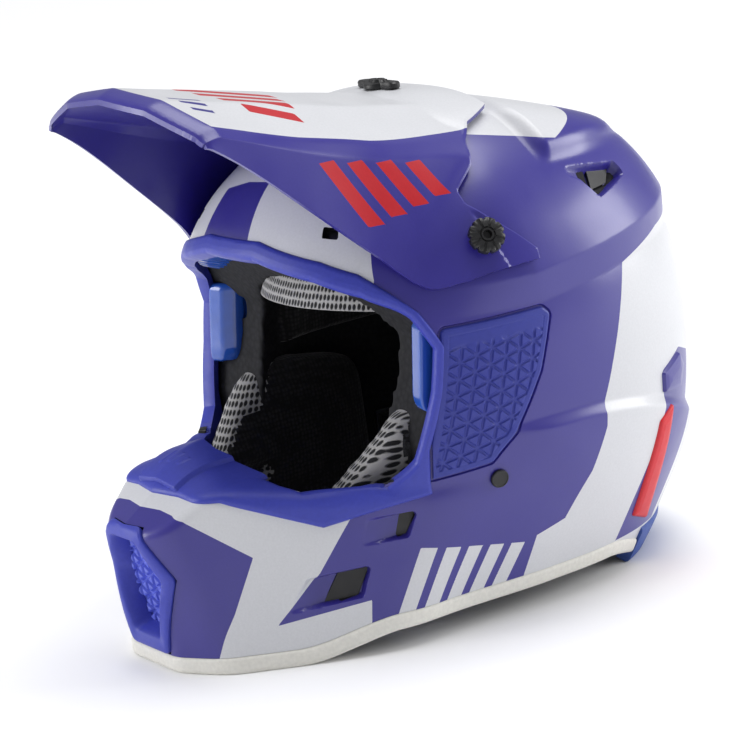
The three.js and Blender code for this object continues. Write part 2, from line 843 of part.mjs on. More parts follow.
function sideScrewPart(radius, from, to) {
  return toSolid(placeOn(onAxis(radius, from, to), sideSeat, sideAxis));
}

function plugPart(radius, from, to) {
  const seat = sidePoint(plugY, plugZ);
  return toSolid(placeOn(onAxis(radius, from, to), seat, formNormal(seat)));
}

function placeOn(geometry, seat, axis) {
  const turn = new THREE.Quaternion().setFromUnitVectors(new THREE.Vector3(0, 1, 0), axis);
  return geometry.applyQuaternion(turn).translate(seat.x, seat.y, seat.z);
}

function topScrewPart(radius, from, to) {
  return toSolid(toTopScrew(onAxis(radius, from, to)));
}

function knobShape(radius) {
  const points = [];
  for (let i = 0; i < knobFlutes * 2; i += 1) {
    const angle = 2 * Math.PI * i / (knobFlutes * 2);
    const reach = i % 2 === 0 ? radius - knobFluteDepth : radius;
    points.push([reach * Math.cos(angle), reach * Math.sin(angle)]);
  }
  return shapeFrom(points);
}

function buildSideScrew() {
  const lift = visorStand + washerGap;
  const head = extrusion(knobShape(sideKnobRadius), sideKnobHeight).rotateX(-Math.PI / 2);
  const knob = toSolid(placeOn(head.translate(0, lift + collarHeight, 0), sideSeat, sideAxis));
  const collar = sideScrewPart(collarRadius, lift, lift + collarHeight + 0.5);
  const shank = sideScrewPart(screwShankRadius, -shellWall - screwEngagement, lift + 1);
  return knob.add(collar).add(shank);
}

function buildTopScrew() {
  const depth = visorStand + shellWall + screwEngagement + nutThickness;
  const shank = topScrewPart(screwShankRadius, -depth, 2);
  const head = topScrewPart(topKnobRadius, washerGap, washerGap + topKnobHeight);
  const wing = box(-topWingHalfLength, topWingHalfLength, topSeat.y - topWingHalfWidth,
    topSeat.y + topWingHalfWidth, topSeat.z + washerGap + 1,
    topSeat.z + washerGap + 1 + topWingHeight);
  return shank.add(head).add(wing);
}

const sideNutDepth = shellWall + nutGap;

function buildSideNut() {
  const body = sideScrewPart(nutRadius, -sideNutDepth - nutThickness, -sideNutDepth);
  return body.subtract(sideScrewPart(screwShankRadius + clearance, -40, 0));
}

function nutSpace() {
  return sideScrewPart(nutRadius + nutGap, -sideNutDepth - nutThickness - nutRoom, 10);
}

// The top nut is a plate that slides with the visor in a pocket under the shell's slot.
const topNutTop = topZ(0, topScrewY) - shellWall - topNutDrop;

function buildTopNut() {
  const plate = box(-topNutHalfWidth, topNutHalfWidth, topScrewY - topNutHalfWidth,
    topScrewY + topNutHalfWidth, topNutTop - nutThickness, topNutTop);
  return plate.subtract(topScrewPart(screwShankRadius + clearance, -60, 0));
}

function topNutSpace() {
  const run = topSlotHalfLength + topNutHalfWidth + 2 * nutGap;
  const half = topNutHalfWidth + nutGap;
  return box(-half, half, topScrewY - run, topScrewY + run,
    topNutTop - nutThickness - nutRoom - 2 * nutGap, topNutTop + 30);
}

// ---------------------------------------------------------------- chin strap

const anchorX = headHalfWidth - 2;

function anchorBlock(fromX, toX, half) {
  return box(fromX, toX, strapPivotY - half, strapPivotY + half, strapPivotZ - half,
    strapPivotZ + half);
}

function anchorSpace() {
  const outside = anchorX + anchorPlateThickness + clearance + 0.1;
  return anchorBlock(anchorX - 20, outside, anchorPlateHalf + anchorRoom);
}

function thickLine(points, thickness) {
  const half = thickness / 2;
  const normals = points.map((p, i) => {
    const a = points[Math.max(i - 1, 0)];
    const b = points[Math.min(i + 1, points.length - 1)];
    const length = Math.hypot(b[0] - a[0], b[1] - a[1]);
    return [-(b[1] - a[1]) / length, (b[0] - a[0]) / length];
  });
  const side = (sign) => points.map((p, i) => [
    p[0] + sign * half * normals[i][0], p[1] + sign * half * normals[i][1]]);
  return [...side(1), ...side(-1).reverse()];
}

function strapSolid(outline) {
  return prismAlongY(outline, strapPivotY - strapWidth / 2, strapPivotY + strapWidth / 2);
}

function arc(centreX, centreZ, radius, fromDegrees, toDegrees, steps) {
  return Array.from({ length: steps + 1 }, (_, i) => {
    const angle = THREE.MathUtils.degToRad(fromDegrees + (toDegrees - fromDegrees) * i / steps);
    return [centreX + radius * Math.cos(angle), centreZ + radius * Math.sin(angle)];
  });
}

const strapEndX = anchorX - strapThickness / 2 - touchGap;
const strapLoopZ = strapDropZ + 4;
const strapTailZ = strapDropZ + strapTailRise;

function strapSide(sign) {
  const bend = arc(strapCornerX - strapBendRadius, strapDropZ + strapBendRadius,
    strapBendRadius, 0, -90, 5);
  const path = [[strapEndX, strapPivotZ + 8], [strapEndX, strapPivotZ - 6], ...bend];
  return path.map(([x, z]) => [sign * x, z]);
}

function buildLeftStrap() {
  const path = [...strapSide(1), [ringBarX + 8, strapDropZ]];
  const web = strapSolid(thickLine(path, strapThickness));
  const neck = strapSolid(thickLine(
    [[ringBarX + 9, strapDropZ], [ringBarX + 3, strapLoopZ - 2]], strapThickness));
  const bore = strapLoop(strapLoopRadius - strapThickness + 0.2);
  return web.add(strapLoop(strapLoopRadius)).add(neck).subtract(bore);
}

function strapLoop(radius) {
  return strapSolid(arc(ringBarX, strapLoopZ, radius, 0, 360, 16).slice(0, 16));
}

function buildRightStrap() {
  const lower = [...strapSide(-1), [ringBowX - 4, strapDropZ]];
  const turn = [[ringBowX + 8, strapDropZ + 0.5], [ringBowX + 9.5, strapDropZ + 5],
    [ringBowX + 7, strapTailZ]];
  const back = [[ringBowX - 4, strapTailZ], [strapTailX, strapDropZ + 6]];
  return strapSolid(thickLine([...lower, ...turn, ...back], strapThickness));
}

// A ring with a straight bar along Y in the left strap's loop and a round bow in the right strap.
function buildRing(centreZ) {
  const half = ringWire / 2;
  const low = centreZ - half;
  const high = centreZ + half;
  const hole = prismAlongZ(ringOutline(-half), low - 1, high + 1);
  return prismAlongZ(ringOutline(half), low, high).subtract(hole);
}

function ringOutline(extra) {
  const end = strapWidth / 2 + ringOverhang + extra;
  const outline = [[ringBarX + extra, -end], [ringBarX + extra, end], ...bowPoints(extra)];
  return outline.map(([x, y]) => [x, y + strapPivotY]);
}

function bowPoints(extra) {
  const half = strapWidth / 2 + ringOverhang + extra;
  const reach = ringBarX - ringBowX + extra;
  return Array.from({ length: 9 }, (_, i) => {
    const angle = Math.PI / 2 - Math.PI * i / 8;
    return [ringBarX - 6 - (reach - 6) * Math.cos(angle) ** 0.6, half * Math.sin(angle)];
  });
}

function buildSnap() {
  const button = new THREE.CylinderGeometry(snapRadius, snapRadius + 0.5, snapHeight, 14);
  button.rotateX(Math.PI / 2);
  return toSolid(button.translate(snapX, strapPivotY, strapTailZ + 0.5));
}

// ---------------------------------------------------------------- small pieces on the shell

function buildPlug() {
  return plugPart(plugRadius, clearance, clearance + plugHeadHeight)
    .add(plugPart(plugShankRadius, -shellWall, clearance + 1));
}

function ventMesh(outline) {
  const inset = shellWall + clearance;
  return patch(outline, inset, inset + ventMeshThickness);
}

// ---------------------------------------------------------------- assembly

add('outer_shell', buildShell(), shellPaint);
add('eyeport_trim', buildEyeportTrim(), blueRubber);
add('base_trim', buildBaseTrim(), trimWhite);
add('rear_trim', buildRearTrim(), blueRubber);
add('nose_guard', buildNoseGuard(), blueRubber);
addPair('side_panel', patch(sideOutline(sidePanel), -panelProud, -touchGap), blueRubber);
add('mouth_vent_frame', buildMouthFrame(), blueRubber);
add('mouth_vent_grille', buildVentGrille(), blueRubber);
['upper', 'lower'].forEach((level, i) => {
  addPair(`chin_vent_mesh_${level}`, ventMesh(sideOutline(grow(chinVents[i], ventMeshLap))),
    blackPlastic);
});
addPair('brow_vent_mesh', ventMesh(frontOutline(grow(browVent, ventMeshLap))), blackPlastic);
addPair('rear_vent_mesh', ventMesh(sideOutline(grow(rearVent, ventMeshLap))), blackPlastic);
addPair('rear_insert', patch(sideOutline(rearInsert), -trimProud, -touchGap), redPlastic);
add('brow_duct', patch(browDuctSpace(0), trimDepth + clearance, browDuctDepth), clearBlue);
addPair('side_plug', buildPlug(), blackPlastic);
add('foam_liner', buildLiner(), foamGrey);
add('chin_foam', buildChinFoam(), foamGrey);
addPair('temple_block', templeSpace(0).intersect(shellSkin(shellWall + clearance))
  .subtract(eyeportOpening(-1)), clearBlue);
buildLinerPads();
addPair('cheek_pad', cheekSpace(0), padFabric);
addPair('strap_anchor', anchorBlock(anchorX, anchorX + anchorPlateThickness, anchorPlateHalf),
  steel);
add('chin_strap_left', buildLeftStrap(), webbing);
add('chin_strap_right', buildRightStrap(), webbing);
add('strap_ring_lower', buildRing(strapDropZ + ringLift), steel);
add('strap_ring_upper', buildRing(strapDropZ + ringLift + ringSpacing), steel);
add('strap_snap', buildSnap(), blackPlastic);
add('visor', buildVisor(), visorPlastic);
addPair('visor_screw', buildSideScrew(), blackPlastic);
add('visor_screw_top', buildTopScrew(), blackPlastic);
addPair('visor_nut', buildSideNut(), steel);
add('visor_nut_top', buildTopNut(), steel);

const bounds = new THREE.Box3().setFromObject(helmet);
const middle = bounds.getCenter(new THREE.Vector3());
helmet.position.set(0, -middle.y, -bounds.min.z);

export default helmet;
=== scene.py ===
import json
import math

import bpy
import numpy as np
from mathutils import Matrix, Vector


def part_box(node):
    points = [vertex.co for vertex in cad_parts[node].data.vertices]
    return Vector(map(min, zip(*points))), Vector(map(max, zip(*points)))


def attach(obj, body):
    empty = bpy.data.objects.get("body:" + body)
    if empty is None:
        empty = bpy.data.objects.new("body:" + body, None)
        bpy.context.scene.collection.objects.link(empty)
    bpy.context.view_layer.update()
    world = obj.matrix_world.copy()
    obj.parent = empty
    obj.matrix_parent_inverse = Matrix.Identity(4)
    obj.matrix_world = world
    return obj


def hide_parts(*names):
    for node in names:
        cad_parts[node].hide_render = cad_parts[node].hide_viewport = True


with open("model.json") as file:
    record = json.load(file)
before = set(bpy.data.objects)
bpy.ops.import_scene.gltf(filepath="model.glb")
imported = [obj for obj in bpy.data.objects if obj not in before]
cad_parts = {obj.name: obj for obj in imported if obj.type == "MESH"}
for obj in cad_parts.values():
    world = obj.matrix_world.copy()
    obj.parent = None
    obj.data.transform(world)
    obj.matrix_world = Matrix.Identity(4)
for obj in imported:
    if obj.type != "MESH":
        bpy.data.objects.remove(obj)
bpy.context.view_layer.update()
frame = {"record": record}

# The looks of a motocross helmet. Lengths here are millimetres in the design frame of the CAD part,
# which lies SHIFT_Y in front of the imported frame; build_mesh turns them into metres.
MM = 0.001
TOP_SCREW_Y = 17.0


def box_mm(node):
    low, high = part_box(node)
    return np.array(low) / MM, np.array(high) / MM


top_low, top_high = box_mm("visor_screw_top")
SHIFT_Y = (top_low[1] + top_high[1]) / 2 - TOP_SCREW_Y


# ------------------------------------------------------------------ the shell's form

HEAD_AXIS_Z = 118.0
CAST_CENTRE = np.array([0.0, 10.0, 70.0])


def clamp(value, low, high):
    return np.minimum(np.maximum(value, low), high)


def smooth_max(a, b, radius):
    share = clamp(0.5 - 0.5 * (b - a) / radius, 0, 1)
    return b * (1 - share) + a * share + radius * share * (1 - share)


def smooth_min(a, b, radius):
    return -smooth_max(-a, -b, radius)


def smooth_step(value, low, high):
    share = clamp((value - low) / (high - low), 0, 1)
    return share * share * (3 - 2 * share)


def plane_distance(p, normal, through):
    offset = ((np.abs(p[..., 0]) - through[0]) * normal[0]
              + (p[..., 1] - through[1]) * normal[1] + (p[..., 2] - through[2]) * normal[2])
    return offset / math.sqrt(sum(v * v for v in normal))


SKULL_HALF_WIDTH = 121.5
SKULL_RISE = 133.0
SKULL_MIDDLE_Y = 35.0
SKULL_FRONT = 138.0
SKULL_REAR = 134.0
SIDE_TUCK = (31.5, 1.7)
NAPE_TUCK = (36.0, 2.7)
LEAST_HALF_SIZE = 40.0
PLAN_POWER = 2.25
RISE_POWER = 2.5
DISTANCE_SCALE = 110.0
RIDGE = 4.5
RIDGE_Z = 162.0
RIDGE_CLIMB = 0.13
RIDGE_BLEND = 15.0
RIDGE_Y = (-45.0, 15.0)
PLATEAU = 4.5
PLATEAU_Y = (40.0, 50.0)
PLATEAU_Z = (222.0, 236.0)
LEDGE = 3.2
LEDGE_Z = 105.0
LEDGE_DROOP = 0.0022
LEDGE_DROOP_Y = 25.0


def skull(p):
    """An egg about the head's axis, drawn in below it: distance outside, near the surface."""
    below = np.maximum(0, HEAD_AXIS_Z - p[..., 2]) / HEAD_AXIS_Z
    above = np.maximum(0, p[..., 2] - HEAD_AXIS_Z) / SKULL_RISE
    tuck, taper = SIDE_TUCK
    half_width = np.maximum(LEAST_HALF_SIZE, SKULL_HALF_WIDTH - tuck * below ** taper)
    tuck, taper = NAPE_TUCK
    along = p[..., 1] - SKULL_MIDDLE_Y
    rear = np.maximum(LEAST_HALF_SIZE, SKULL_REAR - tuck * below ** taper)
    reach = np.where(along > 0, rear, SKULL_FRONT)
    ring = (np.abs(p[..., 0]) / half_width) ** PLAN_POWER + (np.abs(along) / reach) ** PLAN_POWER
    whole = (ring ** (RISE_POWER / PLAN_POWER) + above ** RISE_POWER) ** (1 / RISE_POWER)
    return (whole - 1) * DISTANCE_SCALE


def shoulder_ridge(p):
    """The raised band round the crown, above a line that climbs to the rear."""
    up = p[..., 2] - RIDGE_Z - RIDGE_CLIMB * np.maximum(0, p[..., 1] - RIDGE_Y[1])
    return RIDGE * clamp(up / RIDGE_BLEND, 0, 1) * smooth_step(p[..., 1], *RIDGE_Y)


def plateau(p):
    """The raised rear of the crown."""
    return PLATEAU * smooth_step(p[..., 1], *PLATEAU_Y) * smooth_step(p[..., 2], *PLATEAU_Z)


def lower_ledge(p):
    """The step low on the side, behind the side panel, which fades out towards the base."""
    y, z = p[..., 1], p[..., 2]
    under = LEDGE_Z - LEDGE_DROOP * np.maximum(0, y - LEDGE_DROOP_Y) ** 2 - z
    out = smooth_step(under, -1, 7) * smooth_step(y + 0.9 * (z - 100), -24, 16)
    return LEDGE * out * (1 - smooth_step(under, 10, 70))


CROWN_FACES = [((0, 0.3, 0.955), (0, 52, 255.5), 12), ((0.2, 0.85, 0.48), (45, 160, 187), 6)]


def crown(p):
    """The skull with its raised parts, cut by the planes of the crown's rear."""
    form = skull(p) - shoulder_ridge(p) - plateau(p) - lower_ledge(p)
    for normal, through, radius in CROWN_FACES:
        form = smooth_max(form, plane_distance(p, normal, through), radius)
    return form


CHIN_SIDE_FACE = ((0.843, -0.537, 0.1), (100, -50, 50))
CHIN_FACES = [
    ((0.52, -0.85, -0.06), (14, -168, 60), 4),
    ((0, -1, -0.13), (0, -168, 70), 3),
    ((0.1, -0.55, 0.83), (0, -169, 74), 4),
    ((0.3, -0.05, 0.95), (17, -144, 96), 6),
    ((0.97, 0, -0.24), (112, 0, 95), 10),
    ((0, 1, 0), (0, 20, 0), 10),
]


def chin_bar(p):
    """The chin bar as planes with rounded meetings."""
    form = plane_distance(p, *CHIN_SIDE_FACE)
    for normal, through, radius in CHIN_FACES:
        form = smooth_max(form, plane_distance(p, normal, through), radius)
    return form


def shell_form(p):
    return smooth_min(crown(p), chin_bar(p), 8)


CAST_REACH = 260.0
CAST_HALVINGS = 22
NORMAL_STEP = 0.4


def cast(origin, direction, form=shell_form):
    """The form's surface on each ray, found by halving."""
    origin, direction = np.broadcast_arrays(origin, direction)
    near = np.zeros(direction.shape[:-1])
    far = np.full(direction.shape[:-1], CAST_REACH)
    for _ in range(CAST_HALVINGS):
        middle = (near + far) / 2
        inside = form(origin + direction * middle[..., None]) < 0
        near = np.where(inside, middle, near)
        far = np.where(inside, far, middle)
    return origin + direction * far[..., None]


def form_normal(p):
    """The outward direction of the shell's form."""
    slopes = []
    for axis in range(3):
        offset = np.zeros(3)
        offset[axis] = NORMAL_STEP
        slopes.append(shell_form(p + offset) - shell_form(p - offset))
    slope = np.stack(slopes, -1)
    return slope / np.linalg.norm(slope, axis=-1, keepdims=True)


def side_point(y, z):
    """The form's surface on the wearer's left."""
    y, z = np.broadcast_arrays(np.asarray(y, float), np.asarray(z, float))
    origin = np.stack([np.zeros_like(y), y, z], -1)
    return cast(origin, np.array([1.0, 0, 0]))


def front_point(x, z):
    x, z = np.broadcast_arrays(np.asarray(x, float), np.asarray(z, float))
    origin = np.stack([x, np.full_like(x, -60.0), z], -1)
    return cast(origin, np.array([0, -1.0, 0]))


def top_point(x, y):
    x, y = np.broadcast_arrays(np.asarray(x, float), np.asarray(y, float))
    origin = np.stack([x, y, np.full_like(x, HEAD_AXIS_Z)], -1)
    return cast(origin, np.array([0, 0, 1.0]))


# ------------------------------------------------------------------ outlines

def outline_distance(u, v, points, radius=0.0):
    """Signed distance inside a closed outline, with its outer corners rounded by radius."""
    corners = grow(points, -radius) if radius else [tuple(c) for c in points]
    nearest = np.full(np.shape(u), 1e9)
    inside = np.zeros(np.shape(u), bool)
    for (au, av), (bu, bv) in zip(corners, corners[1:] + corners[:1]):
        run, rise = bu - au, bv - av
        share = clamp(((u - au) * run + (v - av) * rise) / (run * run + rise * rise), 0, 1)
        nearest = np.minimum(nearest, np.hypot(u - au - share * run, v - av - share * rise))
        crosses = (av > v) != (bv > v)
        with np.errstate(divide="ignore", invalid="ignore"):
            inside ^= crosses & (u < au + (v - av) * run / (rise if rise else 1e-9))
    return np.where(inside, nearest, -nearest) + radius


def grow(points, amount):
    """A closed outline moved out by amount, with mitred corners."""
    points = [np.array(p, float) for p in points]
    area = sum(a[0] * b[1] - b[0] * a[1] for a, b in zip(points, points[1:] + points[:1]))
    turn = 1 if area > 0 else -1
    grown = []
    for i, corner in enumerate(points):
        before = corner - points[i - 1]
        after = points[(i + 1) % len(points)] - corner
        first = turn * np.array([before[1], -before[0]]) / np.hypot(*before)
        second = turn * np.array([after[1], -after[0]]) / np.hypot(*after)
        grown.append(tuple(corner + (first + second) * amount / (1 + first @ second)))
    return grown


def resample(points, count, radius=0.0, closed=True):
    """Evenly spaced points along an outline whose corners are rounded."""
    points = np.array(points, float)
    path = []
    total = len(points)
    for i, corner in enumerate(points):
        if not closed and i in (0, total - 1) or not radius:
            path.append(corner)
            continue
        to_before = points[i - 1] - corner
        to_after = points[(i + 1) % total] - corner
        back = min(radius, 0.45 * np.linalg.norm(to_before))
        ahead = min(radius, 0.45 * np.linalg.norm(to_after))
        start = corner + to_before / np.linalg.norm(to_before) * back
        end = corner + to_after / np.linalg.norm(to_after) * ahead
        for share in np.linspace(0, 1, 7):
            path.append((1 - share) ** 2 * start + 2 * share * (1 - share) * corner + share ** 2 * end)
    if closed:
        path.append(path[0])
    path = np.array(path)
    steps = np.concatenate([[0], np.cumsum(np.linalg.norm(np.diff(path, axis=0), axis=1))])
    places = np.linspace(0, steps[-1], count, endpoint=not closed)
    return np.stack([np.interp(places, steps, path[:, k]) for k in range(path.shape[1])], -1)


def mirrored(half):
    """An outline that is the same on both sides, from its points with a positive first value."""
    return half + [(-u, v) for u, v in reversed(half)]


EYEPORT_SIDE = [(-260, 215), (-88, 215), (-62, 188), (-45, 168), (-37, 150), (-41, 127),
                (-51, 92), (-63, 76), (-260, 76)]
EYEPORT_FRONT = mirrored([(22, 203.5), (60, 195), (89, 184), (130, 168), (130, 70)])
CHIN_RIM_PLAN = mirrored([(11, -118), (27, -113), (50, -105.5), (62, -98.5), (71, -90), (90.4, -62),
                          (100, -48.5), (112, -260)])
CHIN_RIM_FRONT = mirrored([(11, 103), (27, 97), (50, 90), (62, 85), (71, 81.5), (81, 83), (91, 86),
                           (104, 91), (120, 100), (120, 20)])
CHIN_WING = mirrored([(19, 87.5), (41, 85.7), (52, 78.5), (69.2, 67.2), (85, 72.8), (98, 77),
                      (110, 84), (140, 84), (140, 130)])


def eyeport(p):
    """Distance inside the eyeport's opening in the shell, as its side and front outlines show it."""
    return np.minimum(sides_and_brow(p), -chin_rim(p))


def sides_and_brow(p):
    side = outline_distance(p[..., 1], p[..., 2], EYEPORT_SIDE, 5)
    front = outline_distance(p[..., 0], p[..., 2], EYEPORT_FRONT, 6)
    return np.minimum(side, front)


def chin_rim(p):
    """Distance inside the chin bar's rim, below the eyeport."""
    x, y, z = p[..., 0], p[..., 1], p[..., 2]
    return np.minimum(outline_distance(x, y, CHIN_RIM_PLAN), outline_distance(x, z, CHIN_RIM_FRONT))


BASE_ARCH = 11.0


def base_line(p):
    """Height of the base edge above its chin and nape ends, arched between them."""
    y = p[..., 1]
    return BASE_ARCH * np.minimum(smooth_step(y, -116, -68), 1 - smooth_step(y, 62, 110))


# ------------------------------------------------------------------ triangle meshes

def grid_triangles(rows, columns, wrap=False):
    across = columns if wrap else columns - 1
    row, column = np.meshgrid(np.arange(rows - 1), np.arange(across), indexing="ij")
    after = (column + 1) % columns
    a = row * columns + column
    b = row * columns + after
    c = (row + 1) * columns + after
    d = (row + 1) * columns + column
    return np.concatenate([np.stack([a, b, c], -1).reshape(-1, 3),
                           np.stack([a, c, d], -1).reshape(-1, 3)])


def cut(points, triangles, values):
    """Cut triangles along the zero line of values given at the points."""
    sign = np.sign(np.where(np.abs(values) < 0.02, 0, values)).astype(int)
    corner = sign[triangles]
    mixed = (corner.max(1) > 0) & (corner.min(1) < 0)
    if not mixed.any():
        return points, triangles
    kept = [triangles[~mixed]]
    mixed_triangles = triangles[mixed]
    mixed_corner = corner[mixed]
    lonely = np.zeros(len(mixed_triangles), int)
    with_zero = (mixed_corner == 0).any(1)
    total = mixed_corner.sum(1)
    for k in range(3):
        lonely[with_zero & (mixed_corner[:, k] == 0)] = k
        lonely[~with_zero & (mixed_corner[:, k] == -np.sign(total))] = k
    order = (lonely[:, None] + np.arange(3)) % 3
    turned = np.take_along_axis(mixed_triangles, order, 1)
    edges = np.concatenate([turned[with_zero][:, [1, 2]], turned[~with_zero][:, [0, 1]],
                            turned[~with_zero][:, [0, 2]]])
    unique, place = np.unique(np.sort(edges, 1), axis=0, return_inverse=True)
    place = place.reshape(-1) + len(points)
    start, end = values[unique[:, 0]], values[unique[:, 1]]
    share = (start / (start - end))[:, None]
    added = points[unique[:, 0]] * (1 - share) + points[unique[:, 1]] * share
    zeros = int(with_zero.sum())
    ones = len(turned) - zeros
    middle = place[:zeros]
    a, b, c = turned[with_zero].T
    kept += [np.stack([a, b, middle], -1), np.stack([a, middle, c], -1)]
    first, second = place[zeros:zeros + ones], place[zeros + ones:]
    a, b, c = turned[~with_zero].T
    kept += [np.stack([a, first, second], -1), np.stack([first, b, c], -1),
             np.stack([first, c, second], -1)]
    return np.concatenate([points, added]), np.concatenate(kept)


def split(surface, field, levels=(0,)):
    """Cut a surface along level lines of a field, keeping both sides."""
    points, triangles = surface
    for level in levels:
        points, triangles = cut(points, triangles, field(points) - level)
    return points, triangles


def trim(surface, field):
    """Keep the part of a surface where the field is above zero."""
    points, triangles = split(surface, field)
    centre_value = field(points)[triangles].mean(1)
    return compact(points, triangles[centre_value > 0])


def compact(points, triangles):
    used, index = np.unique(triangles, return_inverse=True)
    return points[used], index.reshape(-1, 3)


def rim_edges(triangles):
    edges = np.concatenate([triangles[:, [0, 1]], triangles[:, [1, 2]], triangles[:, [2, 0]]])
    key = np.sort(edges, 1)
    _, first, count = np.unique(key, axis=0, return_index=True, return_counts=True)
    return edges[first[count == 1]]


def closed_sheet(points, triangles, back):
    """A closed body between a surface and the matching points at its back."""
    rim = rim_edges(triangles)
    count = len(points)
    sides = np.concatenate([np.stack([rim[:, 1], rim[:, 0], rim[:, 0] + count], -1),
                            np.stack([rim[:, 1], rim[:, 0] + count, rim[:, 1] + count], -1)])
    return np.concatenate([points, back]), np.concatenate([triangles, triangles[:, ::-1] + count, sides])


def profile(value, stations):
    places, heights = zip(*stations)
    return np.interp(value, places, heights)


# ------------------------------------------------------------------ Blender objects

def build_mesh(name, points, faces, body, slot, materials, replaces=(), index=None, sharp=35,
               uv=None):
    """A named mesh on a body, from points in millimetres and faces of three or four corners."""
    points = np.asarray(points, float).copy()
    points[:, 1] += SHIFT_Y
    mesh = bpy.data.meshes.new(name)
    faces = np.asarray(faces, np.int32)
    size = faces.shape[1]
    mesh.vertices.add(len(points))
    mesh.vertices.foreach_set("co", (points * MM).astype(np.float32).ravel())
    mesh.loops.add(faces.size)
    mesh.loops.foreach_set("vertex_index", faces.ravel())
    mesh.polygons.add(len(faces))
    mesh.polygons.foreach_set("loop_start", np.arange(0, faces.size, size, dtype=np.int32))
    mesh.polygons.foreach_set("use_smooth", np.ones(len(faces), bool))
    for material in materials:
        mesh.materials.append(material)
    if index is not None:
        mesh.polygons.foreach_set("material_index", np.asarray(index, np.int32))
    mesh.update(calc_edges=True)
    mesh.validate()
    if uv is not None:
        layer = mesh.uv_layers.new(name="weave")
        flat = np.asarray(uv, np.float32)[faces.ravel()]
        layer.data.foreach_set("uv", flat.ravel())
    mesh.set_sharp_from_angle(angle=math.radians(sharp))
    thing = bpy.data.objects.new(name, mesh)
    bpy.context.scene.collection.objects.link(thing)
    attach(thing, body)
    if replaces:
        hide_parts(*replaces)
    return thing


def both_sides(points, faces, side):
    """The same shape on the wearer's left (+1) or mirrored to the right (-1)."""
    points = np.array(points, float)
    faces = np.asarray(faces)
    if side < 0:
        points[:, 0] *= -1
        faces = faces[:, ::-1]
    return points, faces


def side_name(base, side):
    return f"{base}_left" if side > 0 else f"{base}_right"


def build_pair(name, points, faces, bodies, slot, materials, node, **options):
    """The left piece and its mirror image; each replaces its own side's node, if there is one."""
    pair = []
    for side, body in zip((1, -1), bodies):
        shown, turned = both_sides(points, faces, side)
        pair.append(build_mesh(side_name(name, side), shown, turned, body, slot, materials,
                               [side_name(node, side)] if node else (), **options))
    return pair


ON_HELMET = ("helmet", "helmet")


# ------------------------------------------------------------------ materials

class Shader:
    """One Principled material with a few helpers for its procedural detail."""

    def __init__(self, name, color, roughness, **sockets):
        self.material = bpy.data.materials.new(name)
        self.material.use_nodes = True
        self.tree = self.material.node_tree
        self.shader = self.tree.nodes["Principled BSDF"]
        self.shader.inputs["Base Color"].default_value = (*color, 1)
        self.shader.inputs["Roughness"].default_value = roughness
        for key, value in sockets.items():
            self.shader.inputs[key.replace("_", " ")].default_value = value
        self.color = color
        self.height = None
        self.coordinates = self.tree.nodes.new("ShaderNodeTexCoord").outputs["Object"]

    def node(self, kind, **inputs):
        node = self.tree.nodes.new(kind)
        for key, value in inputs.items():
            socket = node.inputs[key.replace("_", " ")]
            if isinstance(value, bpy.types.NodeSocket):
                self.tree.links.new(value, socket)
            else:
                socket.default_value = value
        return node

    def noise(self, per_metre, detail=3.0, vector=None):
        node = self.node("ShaderNodeTexNoise", Vector=vector or self.coordinates, Scale=per_metre,
                         Detail=detail)
        return node.outputs["Fac"]

    def ranged(self, value, low, high, to_low, to_high):
        node = self.node("ShaderNodeMapRange", Value=value)
        for key, number in zip(("From Min", "From Max", "To Min", "To Max"),
                               (low, high, to_low, to_high)):
            node.inputs[key].default_value = number
        return node.outputs["Result"]

    def mottle(self, per_metre, amount):
        """Slight lightness variation of the base colour."""
        share = self.ranged(self.noise(per_metre), 0.3, 0.7, 0, 1)
        self.tint(share, [min(1, c * (1 + amount)) for c in self.color],
                  [c * (1 - amount) for c in self.color])

    def tint(self, share, high, low):
        mix = self.node("ShaderNodeMix")
        mix.data_type = "RGBA"
        self.tree.links.new(share, mix.inputs["Factor"])
        colors = [s for s in mix.inputs if s.type == "RGBA"]
        colors[0].default_value = (*low, 1)
        colors[1].default_value = (*high, 1)
        out = [s for s in mix.outputs if s.type == "RGBA"][0]
        self.tree.links.new(out, self.shader.inputs["Base Color"])

    def vary_roughness(self, per_metre, low, high):
        share = self.ranged(self.noise(per_metre, 4.0), 0.3, 0.7, low, high)
        self.tree.links.new(share, self.shader.inputs["Roughness"])

    def bump(self, height, distance, strength=1.0):
        node = self.node("ShaderNodeBump", Height=height, Distance=distance, Strength=strength)
        if self.height is not None:
            self.tree.links.new(self.height, node.inputs["Normal"])
        self.height = node.outputs["Normal"]
        self.tree.links.new(self.height, self.shader.inputs["Normal"])


def srgb(red, green, blue):
    def linear(value):
        value /= 255
        return value / 12.92 if value <= 0.04045 else ((value + 0.055) / 1.055) ** 2.4
    return linear(red), linear(green), linear(blue)


def painted(name, color, roughness, coat=0.25):
    """Satin lacquer over paint: faint orange peel and a fleck in the colour."""
    shader = Shader(name, color, roughness, Coat_Weight=coat, Coat_Roughness=0.22,
                    Specular_IOR_Level=0.5)
    shader.mottle(900, 0.03)
    shader.vary_roughness(60, roughness - 0.04, roughness + 0.05)
    shader.bump(shader.noise(700, 2.0), 0.00003)
    return shader.material


def rubber(name, color, roughness):
    """Soft moulded rubber: a fine matt grain."""
    shader = Shader(name, color, roughness, Specular_IOR_Level=0.4)
    shader.mottle(500, 0.05)
    shader.vary_roughness(120, roughness - 0.06, roughness + 0.08)
    shader.bump(shader.noise(2600, 3.0), 0.00006)
    return shader.material


def moulded(name, color, roughness):
    """Injection moulded plastic with a light spark-eroded grain."""
    shader = Shader(name, color, roughness, Specular_IOR_Level=0.5)
    shader.mottle(350, 0.04)
    shader.vary_roughness(200, roughness - 0.05, roughness + 0.06)
    shader.bump(shader.noise(1800, 2.0), 0.00004)
    return shader.material


